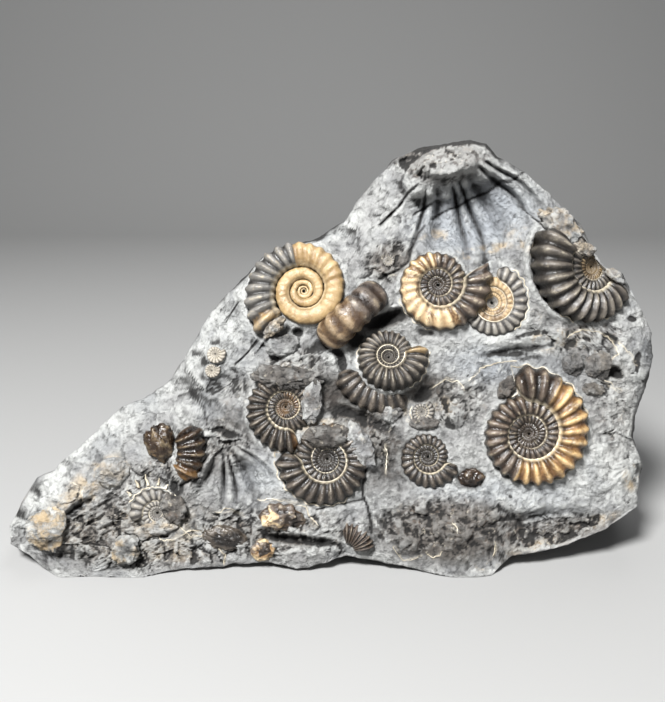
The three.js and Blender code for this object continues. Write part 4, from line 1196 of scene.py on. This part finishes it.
def rimPaths(name, coil, surface):
    # the white lip of stone that follows the ribs round a shell, laid on the stone
    paths = []
    matrix = seatMatrix(coil)
    for low, high in rimOn.get(name, []):
        count = int((high - low) * coil["radius"] / 16)
        angle = np.radians(np.linspace(low, high, max(count * 2, 20)))
        radius = spiralRadius(coil, angle)
        wave = 0.022 * radius * np.cos(behindMouth(coil, angle) * coil["ribs"] + 0.5)
        noise = layeredNoise(np.stack([angle * 3, angle * 0, angle * 0], axis=-1), 0.5, 3, len(name))
        radius = radius + wave + 0.35 + 0.16 * noise
        path = []
        for r, a, n in zip(radius, angle, noise):
            world = matrix @ Vector((r * math.cos(a) * millimetre, r * math.sin(a) * millimetre, 0))
            spot = onStone(world, surface, threadLift["rim"])
            if spot is not None:
                path.append([*spot, 0.72 + 0.45 * n])
        if len(path) > 3:
            paths.append(np.clip(np.array(path), -1, 2))
    return paths


def breakCorner(points):
    # presses what lies beyond the broken line back to it, as a flat break
    sine, cosine = math.sin(slab["lean"]), math.cos(slab["lean"])
    u = points[:, 0] / millimetre + slab["setAside"]
    back = points[:, 1] / millimetre + slab["setBack"]
    v = back * sine + points[:, 2] / millimetre * cosine
    beyond, normals = [], []
    for (ax, ay), (bx, by) in zip(brokenLine[:-1], brokenLine[1:]):
        length = math.hypot(bx - ax, by - ay)
        normals.append((-(by - ay) / length, (bx - ax) / length))
        beyond.append((u - ax) * normals[-1][0] + (v - ay) * normals[-1][1])
    over = np.maximum(np.min(beyond, axis=0), 0)
    chosen = np.array(normals)[np.argmin(beyond, axis=0)]
    moveAside, moveUp = chosen[:, 0] * over, chosen[:, 1] * over
    u2, v2 = u - moveAside, v - moveUp
    # the end of the whorl is pressed in to the edge of the slab
    side = np.maximum(0.66 * (u2 - 66) + 0.75 * (v2 - 71.6), 0) * smooth(64.5, 67, u2)
    moveAside, moveUp = moveAside + 0.66 * side, moveUp + 0.75 * side
    return points - np.stack([moveAside, moveUp * sine, moveUp * cosine], axis=-1) * millimetre


def makeCoilMesh(name, coil, tree, material):
    detail = coilDetail[coil["radius"] > bigCoil]
    turns = math.log(coil["radius"] / detail["core"]) / math.log(coil["growth"])
    share = coil.get("seam", 0.47)
    mesh = runTree(name, tree, {
        "Radius": coil["radius"] * millimetre, "Growth": coil["growth"], "Turns": turns,
        "Mouth": math.radians(coil["mouth"]), "Hand": float(coil.get("hand", 1)),
        "Ribs": float(coil["ribs"]), "Rib Height": coil["ribHeight"], "Rib Lean": 0.5,
        "Thickness": coil["thick"] * 1.1, "Inner Share": share, "Crowding": 1.5,
        "Lip Shift": coil.get("lipShift", 0.0),
        "Steps": int(coil["ribs"] * detail["stepsPerRib"] * turns ** (1 / 1.5)),
        "Sides": detail["sides"], "Material": material})
    flat = vectorsOf(mesh) / millimetre
    behind, outward, upward, rib = [valuesOf(mesh, kind) for kind in ("behind", "outward", "upward", "rib")]
    angles = np.arctan2(flat[:, 1], flat[:, 0])
    gold = shareOn(goldOn.get(name, []), angles, behind)
    worn = shareOn(smoothOn.get(name, []), angles, behind)
    swell = 1 + (rib - 0.5) * coil["ribHeight"] * 2 * np.clip((outward + 1.25) * 0.8, 0, 1)
    size = coil["radius"] * coil["growth"] ** -behind * (1 + share) / 2
    shrink = mix(1, 1 / swell, worn)
    radial = np.hypot(flat[:, 0], flat[:, 1])
    flat[:, :2] *= ((size + (radial - size) * shrink) / np.maximum(radial, 1e-6))[:, None]
    flat[:, 2] *= shrink
    inward = smooth(0.75, 1.9, behind)
    calm = 0.0 if coilLooks[name] in ("yellow", "grey", "cream") else 0.55
    # meetingShade is painted shade on the whorl's inner side by the seam and on its outer edge against the
    # stone
    meetingShade = smooth(-0.35, -0.72, outward) * (1 - smooth(-0.74, -0.82, outward))
    meetingShade = np.maximum(0.7 * meetingShade, 0.75 * smooth(0.78, 0.98, outward))
    addValues(mesh, "gold", gold)
    addValues(mesh, "rib", mix(rib, 0.75, worn))
    addValues(mesh, "seam", smooth(-0.78, -0.9, outward) * (upward > 0) * (1 - 0.85 * inward))
    # shade: the painted contact shade, and the inner whorls of the darker coils toned down towards the groove
    # tone
    addValues(mesh, "shade", np.maximum(calm * inward * (1 - 0.7 * gold),
                                        meetingShade * (0.4 if coilLooks[name] == "yellow" else 1)))
    wobble = 0.035 * coil["radius"] ** 0.5 * layeredNoise(flat, 1.6, 3, len(name))
    swung = np.stack([np.cos(angles) * outward, np.sin(angles) * outward, upward], axis=-1)
    placed = moved((flat + swung * wobble[:, None]) * millimetre, seatMatrix(coil))
    setPoints(mesh, breakCorner(placed) if name == "ammonite_right_edge" else placed)
    if coil.get("hand", 1) < 0:
        mesh.flip_normals()
    return mesh


def makeWhorlMesh(name, whorl, tree, material):
    outer = whorl["arc"] + whorl["bar"]
    span = whorl["span"][1] - whorl["span"][0]
    mesh = runTree(name, tree, {
        "Radius": outer * millimetre, "Growth": 1.12, "Turns": span / 360,
        "Mouth": math.radians(whorl["span"][1]), "Hand": 1.0,
        "Ribs": whorl["ribs"] * 360 / span, "Rib Height": whorl["ribHeight"], "Rib Lean": 0.4,
        "Thickness": 1.0, "Inner Share": (whorl["arc"] - whorl["bar"]) / outer,
        "Crowding": 1.0, "Steps": whorl["ribs"] * 14, "Sides": 40, "Material": material})
    points = vectorsOf(mesh)
    angles = np.degrees(np.arctan2(points[:, 1], points[:, 0]))
    tones = {"whorl_edge_on": smooth(60, 110, angles), "whorl_glossy": smooth(-12, -30, angles),
             "whorl_quarter": 0.35 * smooth(30, 70, angles)}
    for kind, value in (("gold", tones.get(name, 0)), ("seam", 0), ("shade", 0)):
        addValues(mesh, kind, value)
    turn = (Matrix.Rotation(math.radians(whorl.get("heading", 0)), 4, "Z")
            @ Matrix.Rotation(math.radians(whorl.get("plunge", 0)), 4, "X"))
    setPoints(mesh, moved(points, seatMatrix(whorl) @ turn))
    return mesh


def makeBall(name, material):
    body = bmesh.new()
    bmesh.ops.create_icosphere(body, subdivisions=5, radius=1.0)
    mesh = bpy.data.meshes.new(name)
    body.to_mesh(mesh)
    body.free()
    mesh.materials.append(material)
    smoothShade(mesh)
    return mesh, vectorsOf(mesh)


def seatBall(mesh, points, seat):
    # turns the ball about the way out of the stone, in millimetres, and seats it
    angle = math.radians(seat["turn"])
    x, y, z = (points * millimetre).T
    turned = np.stack([x * math.cos(angle) - y * math.sin(angle),
                       x * math.sin(angle) + y * math.cos(angle), z], axis=-1)
    setPoints(mesh, moved(turned, seatMatrix(seat)))


def addStoneValues(mesh, tones, rough, hollow):
    for kind in ("calcite", "split", "pale", "blue", "warm", "dark"):
        addValues(mesh, kind, tones.get(kind, 0.0))
    addValues(mesh, "rough", rough)
    # hollow paints shade into the dips and a pale highlight onto the bumps
    addValues(mesh, "hollow", np.clip(hollow, -1, 1))


def makeLumpMesh(name, lump, material):
    mesh, ball = makeBall(name, material)
    seed = len(name) + 50
    dents = (1 + 0.2 * layeredNoise(ball, 1.1, 5, seed, 0.58)
             + 0.09 * chippedFacets(ball[:, 0] * 4 + ball[:, 2], ball[:, 1] * 4, 1.3, seed + 3))
    if "folds" in lump:
        dents = dents + 0.07 * np.cos(lump["folds"] * (ball[:, 0] + 0.25 * ball[:, 1] ** 2) * math.pi)
    # dips take the dark groove tone as painted shade, bumps the lighter crest tone
    addValues(mesh, "rib", np.clip(0.5 + 4 * (dents - 1), 0, 1))
    if name in lumpTones:
        addStoneValues(mesh, lumpTones[name], 0.3, -2.5 * (dents - 1))
    else:
        golden = lump.get("golden", -0.1) + layeredNoise(ball, 0.9, 3, seed + 5)
        for kind, value in (("gold", np.clip(golden, 0, 1)), ("seam", 0), ("shade", 0)):
            addValues(mesh, kind, value)
    seatBall(mesh, ball * dents[:, None] * np.array(lump["half"]), lump)
    return mesh


whorlLooks = {"whorl_edge_on": "amber", "whorl_under_centre": "dark", "whorl_glossy": "glossy",
              "whorl_quarter": "amber"}
# Crusts of stone left over the shells, and a dark lump as painted shadow in the gap at the great coil's
# mouth: half length, half height, half thickness and tone
crusts = {
    "crust_low_centre": dict(at=(-0.6, 33), depth=0.4, half=(5.8, 2.6, 1.5), turn=6, look="brown"),
    "crust_low_right": dict(at=(7.2, 30.6), depth=0.6, half=(2.6, 5.4, 1.5), turn=24, look="grey"),
    "crust_left_top": dict(at=(-10.4, 46.6), depth=0.6, half=(7.6, 3, 1.7), turn=-6, look="dark"),
    "crust_left_side": dict(at=(-4.2, 40.8), depth=0.8, half=(2.2, 5, 1.5), turn=-8, look="grey"),
    # painted shadow: a dark lump filling the gap between the great coil's mouth and its inner whorl
    "crust_great_mouth": dict(at=(41.4, 44.2), depth=3, half=(2, 3, 1.5), turn=-25, look="brown"),
    "crust_right_top": dict(at=(54, 82.4), depth=1.8, half=(6.2, 3, 2.2), turn=-38, look="tan"),
    "crust_right_end": dict(at=(67, 70.4), depth=2.6, half=(2.4, 1.3, 1.2), turn=-38, look="tan"),
    "crust_right_middle": dict(at=(59.4, 77), depth=1.2, half=(2.6, 1.8, 1.4), turn=-20, look="tan"),
    "crust_yellow_foot": dict(at=(-13, 58.6), depth=1.2, half=(3.4, 1.6, 1.6), turn=40, look="tan"),
    "crust_centre": dict(at=(14.2, 38.8), depth=3, half=(2.7, 2.4, 1.6), turn=0, look="grey"),
    "crust_small_top": dict(at=(22, 36), depth=3, half=(3.6, 1.5, 1.2), turn=0, look="dark"),
    "crust_lower_side": dict(at=(-36.8, 16.2), depth=1.6, half=(2.6, 3.6, 1.3), turn=10, look="brown"),
    "crust_lower": dict(at=(-41, 11.2), depth=2.2, half=(5, 1.8, 1.5), turn=12, look="tan"),
}
# How pale, warm, blue and dark the crusts and the lumps of stone are
crustTones = {"brown": {"warm": 0.4, "dark": 0.8}, "dark": {"dark": 0.7},
              "tan": {"warm": 0.7, "pale": 0.6}, "grey": {"blue": 0.4}}
lumpTones = {
    "nodule_cream_tip": {"warm": 1.1, "pale": 1.2}, "nodule_cream_base": {"warm": 0.9, "pale": 1.1},
    "nodule_purple": {"warm": 0.45, "blue": 0.3, "pale": 0.4}, "dome_dark": {"blue": 0.4, "dark": 0.3},
    "lump_right_small": {"dark": 0.45}, "lump_right_large": {"dark": 0.5, "warm": 0.3},
    "lump_right_low": {"dark": 0.6, "warm": 0.3},
}
lumpLooks = {
    "lump_brown": "glossy", "fragment_arched": "ivory", "fragment_dark": "dark",
    "fragment_gold": "ivory", "pebble_dark": "glossy",
}


def makeCrustMesh(name, crust, material):
    mesh, ball = makeBall(name, material)
    sized = ball * np.array(crust["half"])
    seed = len(name) * 3
    x, y, z = sized.T
    rise = (0.55 * layeredNoise(sized, 2.2, 4, seed, 0.6) + 0.5 * chippedFacets(x, y, 1.7, seed)
            + 0.25 * chippedFacets(x + z, y, 0.8, seed + 1))
    addStoneValues(mesh, crustTones[crust["look"]], 0.8, -0.8 * rise)
    seatBall(mesh, sized * (1 + 0.3 * rise[:, None]), crust)
    return mesh


def slotOf(node):
    for part in frame["record"]["subparts"]:
        if part["node"] == node:
            return part["material_slot"]
    return None


def addPiece(name, mesh, node):
    piece = newObject(name, mesh)
    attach(piece, "root")
    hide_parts(node)
    slotOf(node)
    return piece


# Camera, floor and light
studio = {"lens": 46.15, "sensor": 36, "ambient": 0.13, "aim": (0, 0, 0.05), "floorTone": "868685"}
lights = {"key": dict(at=(-0.16, -0.38, 0.5), size=0.16, power=13.6),
          "fill": dict(at=(0.5, -0.5, 0.25), size=0.6, power=0.9),
          "back": dict(at=(0.1, 0.35, 0.6), size=0.4, power=1.6)}


def makeCamera():
    data = bpy.data.cameras.new("camera")
    data.lens, data.sensor_width, data.clip_start = studio["lens"], studio["sensor"], 0.01
    camera = newObject("camera", data)
    camera.location = eyeSpot()
    camera.rotation_euler = (math.radians(90) - slab["lean"], 0, 0)
    bpy.context.scene.camera = camera


def addLight(name, at, size, power):
    data = bpy.data.lights.new(name, "AREA")
    data.shape, data.size, data.energy = "DISK", size, power
    light = newObject(name, data)
    light.location = at
    light.rotation_euler = (Vector(studio["aim"]) - Vector(at)).to_track_quat("-Z", "Y").to_euler()


def makeStudio():
    for name, light in lights.items():
        addLight(name, **light)
    world = bpy.data.worlds.new("studio")
    world.use_nodes = True
    sky = world.node_tree.nodes["Background"].inputs
    sky["Color"].default_value = (0.9, 0.93, 1.0, 1)
    sky["Strength"].default_value = studio["ambient"]
    bpy.context.scene.world = world
    # a floor that curves up behind
    profile = [(-1.5, 0.0), (0.5, 0.0)]
    profile += [(0.5 + 0.3 * math.sin(a), 0.3 - 0.3 * math.cos(a)) for a in np.linspace(0.1, math.pi / 2, 12)]
    profile += [(0.8, 1.6)]
    points = [(side * 2.5, y, z) for y, z in profile for side in (-1, 1)]
    faces = [(2 * k, 2 * k + 1, 2 * k + 3, 2 * k + 2) for k in range(len(profile) - 1)]
    mesh = bpy.data.meshes.new("floor")
    mesh.from_pydata(points, [], faces)
    smoothShade(mesh)
    floor = newObject("floor", mesh)
    floor.location.z = -0.0001
    material, _, shader = newMaterial("floor_paper")
    shader.inputs["Base Color"].default_value = colour(studio["floorTone"])
    shader.inputs["Roughness"].default_value = 0.9
    mesh.materials.append(material)


print("camera and studio")
makeCamera()
makeStudio()

print("materials")
grainGroup = makeGrainGroup()
hollowShadeGroup = makeHollowShadeGroup()
stoneMaterial = makeStoneMaterial(grainGroup, hollowShadeGroup)
shellMaterials = {name: makeShellMaterial("shell_" + name, look, grainGroup)
                  for name, look in shellLooks.items()}

print("stone")
stoneMesh = makeStone()
stoneMesh.materials.append(stoneMaterial)
stonePiece = addPiece("matrix_stone", stoneMesh, "matrix")
stoneSurface = BVHTree.FromObject(stonePiece, bpy.context.evaluated_depsgraph_get())

print("calcite on the stone")
calciteMaterial = makeCalciteMaterial(grainGroup)
threadTree = makeThreadTree()
lines = threadMesh("calcite_lines", linePaths(calciteLines, stoneSurface) + spikePaths(stoneSurface),
                   threadTree, calciteMaterial, threadRadius["lines"])
addPiece("calcite_lines", lines, "matrix")

print("coils")
shellTree = makeShellTree()
for name, coil in coils.items():
    mesh = makeCoilMesh(name, coil, shellTree, shellMaterials[coilLooks[name]])
    addPiece(name + "_shell", mesh, name)
    if coil["radius"] > bigCoil:
        path = seamPath(coil)
        path[:, :3] = moved(path[:, :3] * millimetre, seatMatrix(coil))
        if name == "ammonite_right_edge":
            path[:, :3] = breakCorner(path[:, :3])
        seam = threadMesh(name + "_seam", [path], threadTree, calciteMaterial, threadRadius["seam"])
        addPiece(name + "_seam", seam, name)
    paths = rimPaths(name, coil, stoneSurface)
    if paths:
        rim = threadMesh(name + "_rim", paths, threadTree, calciteMaterial, threadRadius["rim"])
        addPiece(name + "_rim", rim, "matrix")
for name, whorl in whorls.items():
    mesh = makeWhorlMesh(name, whorl, shellTree, shellMaterials[whorlLooks[name]])
    addPiece(name + "_shell", mesh, name)

print("lumps and crusts")
for name, crust in crusts.items():
    addPiece(name, makeCrustMesh(name, crust, stoneMaterial), "matrix")
for name, lump in lumps.items():
    lumpMaterial = stoneMaterial if name in lumpTones else shellMaterials[lumpLooks[name]]
    addPiece(name + "_stone", makeLumpMesh(name, lump, lumpMaterial), name)

bpy.context.scene.view_settings.view_transform = "Standard"
